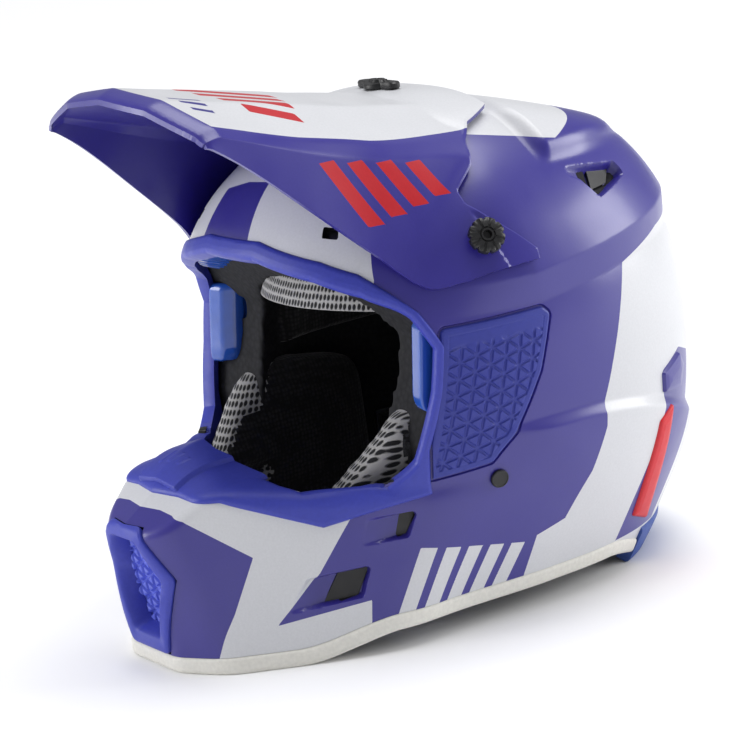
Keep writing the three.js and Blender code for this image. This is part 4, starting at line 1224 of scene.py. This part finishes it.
def build_base_trims(surface):
    """The ivory edge band round the base and the blue-grey piece at the nape."""
    def above(p):
        return p[..., 2] - base_line(p)

    band = trim(trim(surface, above), lambda p: 8.8 - above(p))
    front = trim(band, lambda p: 87.4 - p[..., 1] + 0.4 * (p[..., 2] - 10))
    front = split(front, above, (0.8, 2.2, 6.6, 7.6, 8.2))
    points, triangles = front
    normal = form_normal(points)
    proud = profile(above(points), [(0, 0.1), (0.8, 0.9), (2.2, 1.25), (6.6, 1.0), (7.6, 0.7),
                                    (8.2, 0.1), (8.8, -1.2)])
    body, faces = closed_sheet(points + normal * proud[:, None], triangles, points - normal * 5.8)
    build_mesh("base_edge_band", body, faces, "helmet", "base_edge", [BASE_RUBBER], ["base_trim"],
               sharp=40)

    rear = trim(trim(surface, lambda p: p[..., 2]), lambda p: 18.6 - p[..., 2])
    rear = trim(rear, lambda p: p[..., 1] - 88 - 0.4 * (p[..., 2] - 10))
    rear = split(rear, lambda p: p[..., 2], (0.8, 2.0, 16.6, 17.8))
    points, triangles = rear
    normal = form_normal(points)
    proud = profile(points[:, 2], [(0, 0.2), (0.8, 1.2), (2, 1.6), (16.6, 1.6), (17.8, 1.1), (18.6, 0)])
    body, faces = closed_sheet(points + normal * proud[:, None], triangles, points - normal * 5.8)
    build_mesh("nape_trim", body, faces, "helmet", "trim_rubber", [REAR_BLUE], ["rear_trim"], sharp=40)


REAR_INSERT = [(101, 89), (93, 24), (77, 31), (88, 82)]
REAR_SPOILER = [(95, 95), (94, 106), (113, 112), (119, 104), (114, 92)]


def build_rear_pieces():
    """Red inserts at the rear quarters and the small spoiler above each."""
    stack = [
        ("rear_insert", REAR_INSERT, [(0, 0.1), (0.6, 1.0), (1.6, 1.5), (4, 1.9)], RED_PLASTIC,
         "red_plastic", "rear_insert_red"),
        ("", REAR_SPOILER, [(0, 0.1), (0.8, 1.8), (3, 2.4), (6, 2.8)], SHELL_PURPLE, "shell_paint",
         "rear_spoiler"),
    ]
    for node, outline, rise, look, slot, name in stack:
        def inside(p):
            return outline_distance(p[..., 1], p[..., 2], outline, 1.5)

        low = np.array(outline).min(0) - 1
        high = np.array(outline).max(0) + 1
        surface = trim(side_patch(low, high, FINE_PITCH * 1.4), inside)
        surface = split(surface, inside, [place for place, _ in rise[1:]])
        points, triangles = surface
        normal = form_normal(points)
        height = profile(inside(points), rise)
        body, faces = closed_sheet(points + normal * height[:, None], triangles, points - normal * 0.2)
        build_pair(name, body, faces, ON_HELMET, slot, [look], node, sharp=30)


# ------------------------------------------------------------------ screws and plugs

def axis_frame(point, direction):
    """Rotation that turns +Z to the direction, and the point it starts from."""
    turn = Vector(direction).to_track_quat("Z", "Y").to_matrix()
    return np.array(turn), np.array(point, float)


def radial_body(reach, stations, count=96):
    """A body of rings about +Z: stations of (radius share, height), reach by angle and share."""
    angle = np.linspace(0, 2 * np.pi, count, endpoint=False)
    rings = []
    for share, height in stations:
        radius = reach(angle, share)
        lift = height(angle) if callable(height) else np.full(count, float(height))
        rings.append(np.stack([radius * np.cos(angle), radius * np.sin(angle), lift], -1))
    return loft(rings)


def place_on(points, frame_and_point):
    turn, origin = frame_and_point
    return points @ turn.T + origin


SIDE_SEAT = side_point(-9.0, 196.0).reshape(3)
SIDE_AXIS = form_normal(SIDE_SEAT)
KNOB_BASE = VISOR_STAND + 0.8 + 2.0


def knob_reach(angle, share):
    """Eight shallow flutes in the rim, fading towards the middle."""
    flute = np.maximum(0, np.cos(8 * angle)) ** 6
    return share * (9.0 - 1.1 * flute * smooth_step(share, 0.6, 0.95))


def knob_spokes(low, high):
    """A height that drops between wide raised sectors."""
    def height(angle):
        return low + (high - low) * smooth_step(np.cos(8 * angle), -0.97, -0.6)
    return height


def build_side_screws():
    stations = [(0.05, KNOB_BASE - 2.4), (0.5, KNOB_BASE - 2.4), (0.5, KNOB_BASE), (0.97, KNOB_BASE),
                (1.0, KNOB_BASE + 0.6), (1.0, KNOB_BASE + 3.2), (0.97, KNOB_BASE + 3.9),
                (0.9, knob_spokes(KNOB_BASE + 3.9, KNOB_BASE + 4.4)),
                (0.7, knob_spokes(KNOB_BASE + 4.1, KNOB_BASE + 4.8)),
                (0.44, knob_spokes(KNOB_BASE + 4.3, KNOB_BASE + 5.0)), (0.4, KNOB_BASE + 4.2),
                (0.36, KNOB_BASE + 4.2), (0.34, KNOB_BASE + 5.0), (0.25, KNOB_BASE + 5.0),
                (0.23, KNOB_BASE + 4.6), (0.2, KNOB_BASE + 2.6), (0.02, KNOB_BASE + 2.6)]
    points, faces = radial_body(knob_reach, stations)
    points = place_on(points, axis_frame(SIDE_SEAT, SIDE_AXIS))
    build_pair("side_knob", points, faces, ("screw_left", "screw_right"), "black_plastic",
               [BLACK_PLASTIC], "visor_screw", sharp=30)


WING_REACH = 16.0
WING_HALF_WIDTH = 4.4
WING_HUB = 8.0


def wing_reach(angle, share):
    """A two-lobed wing about a round hub."""
    narrowed = (1 + (np.sin(angle) * WING_REACH / WING_HALF_WIDTH) ** 4) ** 0.25
    lobe = WING_REACH / narrowed * np.maximum(0.3, np.abs(np.cos(angle)))
    return share * np.maximum(WING_HUB, np.minimum(WING_REACH, lobe))


def build_top_screw():
    low, high = top_low[2], top_high[2]
    base = high - 4.8
    shank = 0.3

    def arched(lift):
        return lambda angle: base + lift + 0.9 * np.abs(np.cos(angle)) ** 3

    stations = [(0.02, low), (shank * 0.32, low), (shank * 0.32, base), (0.93, base), (1.0, base + 0.7),
                (1.0, arched(2.0)), (0.94, arched(2.8)), (0.8, arched(3.0)), (0.5, base + 3.2),
                (0.42, high - 0.2), (0.3, high), (0.2, high), (0.18, high - 0.8), (0.02, high - 0.8)]
    points, faces = radial_body(wing_reach, stations)
    points[:, 1] += TOP_SCREW_Y
    build_mesh("top_wing_screw", points, faces, "screw_top", "black_plastic", [BLACK_PLASTIC],
               ["visor_screw_top"], sharp=35)


def build_plugs():
    seat = side_point(-16.6, 79.0).reshape(3)
    stations = [(0.05, -4.0), (0.53, -4.0), (0.53, 0.2), (0.97, 0.2), (1.0, 0.5), (1.0, 1.3),
                (0.94, 1.8), (0.84, 1.9), (0.8, 1.6), (0.3, 1.4), (0.02, 1.35)]
    points, faces = radial_body(lambda angle, share: share * np.full_like(angle, 4.7), stations, 64)
    points = place_on(points, axis_frame(seat, form_normal(seat)))
    build_pair("blind_plug", points, faces, ON_HELMET, "black_plastic", [BLACK_PLASTIC], "side_plug")


# ------------------------------------------------------------------ inside

HEAD_HALF_WIDTH = 84.0
HEAD_Y = (-62.0, 142.0)
HEAD_TOP_Z = 219.0


def head_form(p):
    middle, half = sum(HEAD_Y) / 2, (HEAD_Y[1] - HEAD_Y[0]) / 2
    above = np.maximum(0, p[..., 2] - HEAD_AXIS_Z) / (HEAD_TOP_Z - HEAD_AXIS_Z)
    ring = (np.abs(p[..., 0]) / HEAD_HALF_WIDTH) ** 2.3 + (np.abs(p[..., 1] - middle) / half) ** 2.3
    return ((ring + above ** 2.3) ** (1 / 2.3) - 1) * HEAD_HALF_WIDTH


def head_surface(azimuths, heights):
    """The head space's wall: azimuth about +Z from the front, and elevation above its axis."""
    az, el = np.meshgrid(np.radians(azimuths), np.radians(heights), indexing="ij")
    direction = np.stack([np.sin(az) * np.cos(el), -np.cos(az) * np.cos(el), np.sin(el)], -1)
    centre = np.array([0, sum(HEAD_Y) / 2, HEAD_AXIS_Z])
    points = cast(centre, direction, head_form)
    return points, (points - centre) / np.linalg.norm(points - centre, axis=-1, keepdims=True)


def dome_pad(azimuths, heights, thickness, puff, channels):
    """A pad on the head space's wall, crowned between its edges and sewn channels."""
    wall, outward_way = head_surface(azimuths, heights)
    wall = wall - outward_way * 0.5
    rows, columns = wall.shape[:2]
    u = np.linspace(0, 1, rows)[:, None]
    v = np.linspace(0, 1, columns)[None, :]
    edge = np.minimum(np.minimum(u, 1 - u) * rows, np.minimum(v, 1 - v) * columns)
    crown_share = np.sqrt(clamp(edge / 6.0, 0, 1) * (2 - clamp(edge / 6.0, 0, 1)))
    seam = np.ones((rows, columns))
    for place, along_u in channels:
        gap = np.abs((u if along_u else v) - place) * (rows if along_u else columns)
        seam = np.minimum(seam, 0.35 + 0.65 * clamp(np.broadcast_to(gap, seam.shape) / 4.0, 0, 1))
    inner = wall - outward_way * (1.0 + (thickness - 1.0 + puff) * crown_share * seam)[..., None]
    triangles = grid_triangles(rows, columns)
    points = inner.reshape(-1, 3)
    normal = grid_normals(points, triangles)
    if (normal * outward_way.reshape(-1, 3)).sum() > 0:
        triangles = triangles[:, ::-1]
    round_uv, up_uv = np.meshgrid(np.radians(azimuths) * 84, np.radians(heights) * 90, indexing="ij")
    uv = np.stack([round_uv, up_uv], -1).reshape(-1, 2)
    body, faces = closed_sheet(points, triangles, wall.reshape(-1, 3))
    return body, faces, np.concatenate([uv, uv])


def build_dome_pads():
    """The crown liner, the brow pad and the nape roll, on the wall of the head space."""
    steps = 150
    crown_channels = [(0.25, True), (0.5, True), (0.75, True), (0.5, False)]
    # name, node, look, fill, azimuths, elevations, grid counts, thickness, puff, sewn channels
    pads = [
        ("crown_comfort_liner", "crown_liner", LINING, 0.6, (52, 308), (4, 84), (steps * 2, steps),
         7.0, 0.6, crown_channels),
        ("brow_mesh_pad", "brow_pad", MESH_FABRIC, 0.7, (-46, 46), (25, 62), (steps, steps // 2),
         9.0, 1.0, [(0.5, False)]),
        ("nape_roll", "neck_roll", LINING, 0.8, (128, 232), (-48, -30), (steps, steps // 4),
         12.0, 1.5, []),
    ]
    for name, node, look, fill, around, up, counts, thickness, puff, channels in pads:
        body, faces, uv = dome_pad(np.linspace(*around, counts[0]), np.linspace(*up, counts[1]),
                                   thickness, puff, channels)
        pad = build_mesh(name, body, faces, "helmet", "lining", [look], [node], uv=uv * MM)


TEMPLE_FOOT_Z = 118.0
TEMPLE_SECTION = [(81, -19), (81, -27.5), (83, -29), (83, -31), (81, -32.5), (81, -38), (86, -44),
                  (96, -46), (96, -19)]


def build_temple_blocks():
    """Glossy blue blocks with a vertical groove and a rounded foot."""
    heights = np.concatenate([np.linspace(0, 9, 10), np.linspace(12, 38, 14), np.linspace(39.5, 43, 5)])
    rings = []
    for height in heights:
        foot = 9 * (1 - math.sqrt(max(0.0, 1 - (1 - min(height, 9) / 9) ** 2)))
        head = 1.5 * max(0.0, (height - 40) / 3) ** 2
        loop = rounded_loop(grow(TEMPLE_SECTION, -0.25 * foot - head), 2.0, 5, 4)
        lean = 0.12 * (height - 20)
        rings.append(np.stack([loop[:, 0] + 0.4 * foot, loop[:, 1] + lean,
                               np.full(len(loop), TEMPLE_FOOT_Z + height)], -1))
    points, faces = loft(rings)
    build_pair("temple_guide", points, faces, ON_HELMET, "blue_plastic", [CLEAR_BLUE],
               "temple_block", sharp=50)


def build_brow_duct():
    """The ribbed blue duct between the brow trim and the padding."""
    x = np.linspace(-84, 84, 320)
    depth = np.linspace(0, 1, 16)
    edge_z = np.interp(np.abs(x), [0, 22, 60, 84], [194, 193.5, 185.5, 176])
    front = front_point(x, edge_z)
    rib = 0.7 * smooth_step(np.cos(2 * np.pi * x / 6.5), -0.3, 0.6)
    start = front + np.stack([-0.05 * x, np.full_like(x, 7.5), np.full_like(x, -0.5)], -1)
    run = np.stack([-0.10 * x, np.full_like(x, 22.0), np.full_like(x, -1.5)], -1)
    grid = start[:, None] + run[:, None] * depth[None, :, None]
    grid[..., 2] -= 3.2 * np.sin(np.pi * clamp(depth, 0, 0.7) / 1.4)[None, :] + rib[:, None]
    points = grid.reshape(-1, 3)
    triangles = grid_triangles(*grid.shape[:2])
    back = points + np.array([0, 0, 2.2])
    body, faces = outward(*closed_sheet(points, triangles, back))
    build_mesh("brow_air_duct", body, faces, "helmet", "blue_plastic", [CLEAR_BLUE], ["brow_duct"],
               sharp=50)


def softened(node, name, body, look, voxel, passes):
    """A smoothed copy of a CAD solid, shrunk a little so that it stays inside its space."""
    source = bpy.data.objects[node]
    thing = bpy.data.objects.new(name, source.data.copy())
    bpy.context.scene.collection.objects.link(thing)
    thing.matrix_world = source.matrix_world.copy()
    remesh = thing.modifiers.new("remesh", "REMESH")
    remesh.mode = "VOXEL"
    remesh.voxel_size = voxel * MM
    smooth = thing.modifiers.new("smooth", "SMOOTH")
    smooth.iterations = passes
    smooth.factor = 0.5
    apply_modifiers(thing)
    thing.data.materials.clear()
    thing.data.materials.append(look)
    for polygon in thing.data.polygons:
        polygon.use_smooth = True
    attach(thing, body)
    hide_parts(node)


def apply_modifiers(thing):
    shown = thing.evaluated_get(bpy.context.evaluated_depsgraph_get())
    mesh = bpy.data.meshes.new_from_object(shown)
    thing.modifiers.clear()
    thing.data = mesh


def build_foams():
    voxel = 2.2
    softened("foam_liner", "impact_liner", "helmet", FOAM, voxel, 3)
    softened("chin_foam", "chin_impact_foam", "helmet", FOAM, voxel, 3)


CHEEK_SIDE = [(-84, 66), (-82, 78), (-66, 94), (-44, 116), (-18, 120), (30, 110), (33, 24), (-30, 20),
              (-56, 40), (-68, 62)]


def cheek_solid():
    """A closed start form for the pad: its side outline carried across, with drawn-in edges."""
    rings = []
    for x, inset in ((79.5, 6.0), (79, 3.0), (76, 1.2), (70, 1.0), (64, 2.0), (61, 5.0), (60, 9.0)):
        loop = rounded_loop(grow(CHEEK_SIDE, -inset), 12, 7, 8)
        lean = 0.1 * np.maximum(0, -20 - loop[:, 0]) + 0.4 * np.maximum(0, -52 - loop[:, 0])
        rings.append(np.stack([x - lean, loop[:, 0], loop[:, 1]], -1))
    return loft(rings)


def inflate(thing, voxel, steps, limit):
    """Remesh and blow a pad up as cloth under pressure, no further than the limit."""
    remesh = thing.modifiers.new("remesh", "REMESH")
    remesh.mode = "VOXEL"
    remesh.voxel_size = voxel * MM
    apply_modifiers(thing)
    rest = np.empty(len(thing.data.vertices) * 3, np.float32)
    thing.data.vertices.foreach_get("co", rest)
    cloth = thing.modifiers.new("cloth", "CLOTH")
    cloth.settings.use_pressure = True
    cloth.settings.uniform_pressure_force = 4
    cloth.settings.quality = 5
    cloth.settings.effector_weights.gravity = 0
    scene = bpy.context.scene
    for step in range(1, steps + 1):
        scene.frame_set(step)
    shown = thing.evaluated_get(bpy.context.evaluated_depsgraph_get())
    blown = np.empty(len(shown.data.vertices) * 3, np.float32)
    shown.data.vertices.foreach_get("co", blown)
    thing.modifiers.clear()
    scene.frame_set(1)
    move = (blown - rest).reshape(-1, 3)
    length = np.linalg.norm(move, axis=1, keepdims=True)
    move *= np.minimum(1, limit * MM / np.maximum(length, 1e-9))
    thing.data.vertices.foreach_set("co", (rest.reshape(-1, 3) + move).ravel())
    thing.data.update()


def build_cheek_pads():
    points, faces = cheek_solid()
    left = build_mesh("cheek_cushion_left", points, faces, "cheek_left", "lining", [LINING],
                      ["cheek_pad_left"])
    inflate(left, 4.5, 14, 2.5)
    subdivide = left.modifiers.new("fine", "SUBSURF")
    subdivide.levels = 1
    apply_modifiers(left)
    mesh = left.data
    count = len(mesh.vertices)
    place = np.empty(count * 3, np.float32)
    mesh.vertices.foreach_get("co", place)
    place = place.reshape(-1, 3) / MM
    place[:, 1] -= SHIFT_Y
    corners = np.empty(len(mesh.loops), np.int32)
    mesh.loops.foreach_get("vertex_index", corners)
    totals = np.array([len(polygon.vertices) for polygon in mesh.polygons])
    quads = [list(polygon.vertices) for polygon in mesh.polygons]
    bpy.data.objects.remove(left)
    faces = np.array([q if len(q) == 4 else [*q, q[-1]] for q in quads])
    if (totals == 3).all():
        faces = faces[:, :3]
    centre = place[faces].mean(1)
    normal = np.cross(place[faces[:, 1]] - place[faces[:, 0]], place[faces[:, 2]] - place[faces[:, 0]])
    normal /= np.maximum(np.linalg.norm(normal, axis=1, keepdims=True), 1e-9)
    front = (normal[:, 1] < -0.12) & (centre[:, 1] < -14) & (centre[:, 0] < 76.5)
    strip = (normal[:, 1] < -0.12) & (centre[:, 1] < -14) & (centre[:, 0] >= 76.5)
    index = np.where(front, 1, np.where(strip, 2, 0))
    uv = np.stack([place[:, 0] * 0.85 - place[:, 1] * 0.5, place[:, 2]], -1) * MM
    for pad in build_pair("cheek_cushion", place, faces, ("cheek_left", "cheek_right"), "lining",
                          [LINING, MESH_FABRIC, SMOOTH_FABRIC], "cheek_pad", index=index, sharp=80,
                          uv=uv):
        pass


# ------------------------------------------------------------------ chin strap

STRAP_Y = 58.0
STRAP_WIDTH = 18.0
STRAP_THICK = 1.8
STRAP_DROP_Z = 9.0


def strap_band(path):
    """A flat web along a path in (x, z), with softly rounded edges."""
    path = np.array(path, float)
    tangent = np.gradient(path, axis=0)
    tangent /= np.linalg.norm(tangent, axis=1, keepdims=True)
    normal = np.stack([-tangent[:, 1], tangent[:, 0]], -1)
    half = STRAP_WIDTH / 2
    across = [(-half, 0), (-half + 0.4, 0.5), (-half + 1.2, 0.5), (-half + 1.8, 0.42), (0, 0.5),
              (half - 1.8, 0.42), (half - 1.2, 0.5), (half - 0.4, 0.5), (half, 0), (half - 0.4, -0.5),
              (half - 1.8, -0.42), (0, -0.5), (-half + 1.8, -0.42), (-half + 0.4, -0.5)]
    rings = []
    for point, way in zip(path, normal):
        rings.append([(point[0] + way[0] * n * STRAP_THICK, STRAP_Y + y,
                       point[1] + way[1] * n * STRAP_THICK) for y, n in across])
    return loft(rings)


def arc_points(centre, radius, start, end, count):
    angle = np.radians(np.linspace(start, end, count))
    return [(centre[0] + radius * math.cos(a), centre[1] + radius * math.sin(a)) for a in angle]


def build_straps():
    bend = arc_points((42, STRAP_DROP_Z + 22), 22, 0, -90, 14)
    side = [(80.8, 66), (80.8, 52)]
    left = side + [(64 + 16.8 * (1 - t), 52 - (52 - 31) * t) for t in np.linspace(0.3, 1, 6)] + bend[1:]
    left = resample(left + [(34, STRAP_DROP_Z), (30, STRAP_DROP_Z + 0.4)]
                    + arc_points((27, STRAP_DROP_Z + 4), 4.2, -60, -330, 18), 110, closed=False)
    points, faces = strap_band(left)
    build_mesh("strap_web_left", points, faces, "strap", "webbing", [WEBBING], ["chin_strap_left"],
               sharp=60)
    lower = [(-x, z) for x, z in resample(side + [(64, 31)] + bend[1:], 40, closed=False)]
    fold = arc_points((12, STRAP_DROP_Z + 5), 4.5, -80, 80, 12)
    path = lower + [(-20, STRAP_DROP_Z), (0, STRAP_DROP_Z), (8, STRAP_DROP_Z + 0.3)] + fold
    path += [(4, STRAP_DROP_Z + 9.5), (-12, STRAP_DROP_Z + 8.6), (-34, STRAP_DROP_Z + 6)]
    points, faces = strap_band(resample(path, 150, closed=False))
    build_mesh("strap_web_right", points, faces, "strap", "webbing", [WEBBING], ["chin_strap_right"],
               sharp=60)


RING_WIRE = 1.1


def build_rings():
    for name, height in (("ring_lower", 2.6), ("ring_upper", 5.4)):
        half = STRAP_WIDTH / 2 + 2.5
        bow = [(21 - 17 * math.cos(a) ** 0.6, half * math.sin(a))
               for a in np.linspace(math.pi / 2 - 0.02, -math.pi / 2 + 0.02, 15)]
        path = resample([(27, -half), (27, half)] + bow, 96, 3.0)
        ahead = np.roll(path, -1, 0) - np.roll(path, 1, 0)
        ahead /= np.linalg.norm(ahead, axis=1, keepdims=True)
        rings = []
        for (x, y), (tx, ty) in zip(path, ahead):
            rings.append([(x + ty * RING_WIRE * math.cos(a), STRAP_Y + y - tx * RING_WIRE * math.cos(a),
                           STRAP_DROP_Z + height + RING_WIRE * math.sin(a))
                          for a in np.linspace(0, 2 * np.pi, 14, endpoint=False)])
        points, faces = loft(rings, close_ring=True)
        build_mesh(f"steel_{name}", points, faces, "strap", "steel", [STEEL], [f"strap_{name}"])


def build_snap():
    stations = [(0.05, 17.8), (0.95, 17.8), (1.0, 18.2), (0.98, 19.2), (0.8, 19.9), (0.5, 20.1),
                (0.45, 19.8), (0.02, 19.8)]
    points, faces = radial_body(lambda angle, share: share * np.full_like(angle, 5.5), stations, 48)
    points += [-22, STRAP_Y, 0]
    build_mesh("snap_button", points, faces, "strap", "black_plastic", [BLACK_PLASTIC], ["strap_snap"])


# ------------------------------------------------------------------ camera, floor and light

CAMERA_ANGLES = (55.368, 14.130, -6.667)
CAMERA_PLACE = (1041.918, -726.126, 432.479)
CAMERA_LENS = 119.1


def build_camera():
    """A long lens ahead of the wearer's left, a little above, with a slight roll."""
    azimuth, elevation, roll = (math.radians(angle) for angle in CAMERA_ANGLES)
    forward = Vector((-math.sin(azimuth) * math.cos(elevation),
                      math.cos(azimuth) * math.cos(elevation), -math.sin(elevation)))
    level = Vector((math.cos(azimuth), math.sin(azimuth), 0))
    upright = level.cross(forward)
    right = math.cos(roll) * level + math.sin(roll) * upright
    up = -math.sin(roll) * level + math.cos(roll) * upright
    camera = bpy.data.objects.new("camera", bpy.data.cameras.new("camera"))
    camera.data.lens = CAMERA_LENS
    camera.data.sensor_width = 36
    camera.data.clip_end = 100
    turn = Matrix((right, up, -forward)).transposed().to_4x4()
    place = (Vector(CAMERA_PLACE) + Vector((0, SHIFT_Y, 0))) * MM
    camera.matrix_world = Matrix.Translation(place) @ turn
    bpy.context.scene.collection.objects.link(camera)
    bpy.context.scene.camera = camera


def build_floor():
    half, steps = 30.0, 24
    line = np.linspace(-half, half, steps)
    x, y = np.meshgrid(line, line)
    points = np.stack([x, y, np.zeros_like(x)], -1).reshape(-1, 3)
    mesh = bpy.data.meshes.new("floor")
    mesh.from_pydata(points.tolist(), [], grid_triangles(steps, steps).tolist())
    floor = bpy.data.objects.new("floor", mesh)
    shader = Shader("floor_card", srgb(246, 246, 247), 0.7, Specular_IOR_Level=0.1)
    mesh.materials.append(shader.material)
    bpy.context.scene.collection.objects.link(floor)


def area_light(name, place, target, size, watts):
    data = bpy.data.lights.new(name, "AREA")
    data.shape = "RECTANGLE"
    data.size, data.size_y = size
    data.energy = watts
    light = bpy.data.objects.new(name, data)
    light.location = place
    light.rotation_euler = (Vector(target) - Vector(place)).to_track_quat("-Z", "Y").to_euler()
    bpy.context.scene.collection.objects.link(light)


def build_lights():
    world = bpy.data.worlds.new("studio")
    world.use_nodes = True
    background = world.node_tree.nodes["Background"]
    background.inputs["Color"].default_value = (0.96, 0.97, 1, 1)
    background.inputs["Strength"].default_value = 0.32
    bpy.context.scene.world = world
    middle = (0, 0, 0.15)
    area_light("front_box", (-1.1, -1.8, 0.7), middle, (1.1, 1.1), 24)
    area_light("rear_box", (1.2, 2.1, 0.9), middle, (1.2, 1.2), 34)
    sun = bpy.data.lights.new("ceiling", "SUN")
    sun.energy = 2.5
    sun.angle = math.radians(50)
    ceiling = bpy.data.objects.new("ceiling", sun)
    ceiling.rotation_euler = (math.radians(-8), math.radians(-4), 0)
    bpy.context.scene.collection.objects.link(ceiling)
    bpy.context.scene.view_settings.view_transform = "Standard"


# ------------------------------------------------------------------ assembly

build_camera()
build_floor()
build_lights()
dress_cad_nodes()
shell = shell_surface()
build_shell(shell)
build_eyeport_trim(shell)
build_base_trims(shell)
build_visor()
build_side_panels()
build_nose_guard()
build_mouth_vent()
build_rear_pieces()
build_side_screws()
build_top_screw()
build_plugs()
build_dome_pads()
build_temple_blocks()
build_brow_duct()
build_foams()
build_cheek_pads()
build_straps()
build_rings()
build_snap()
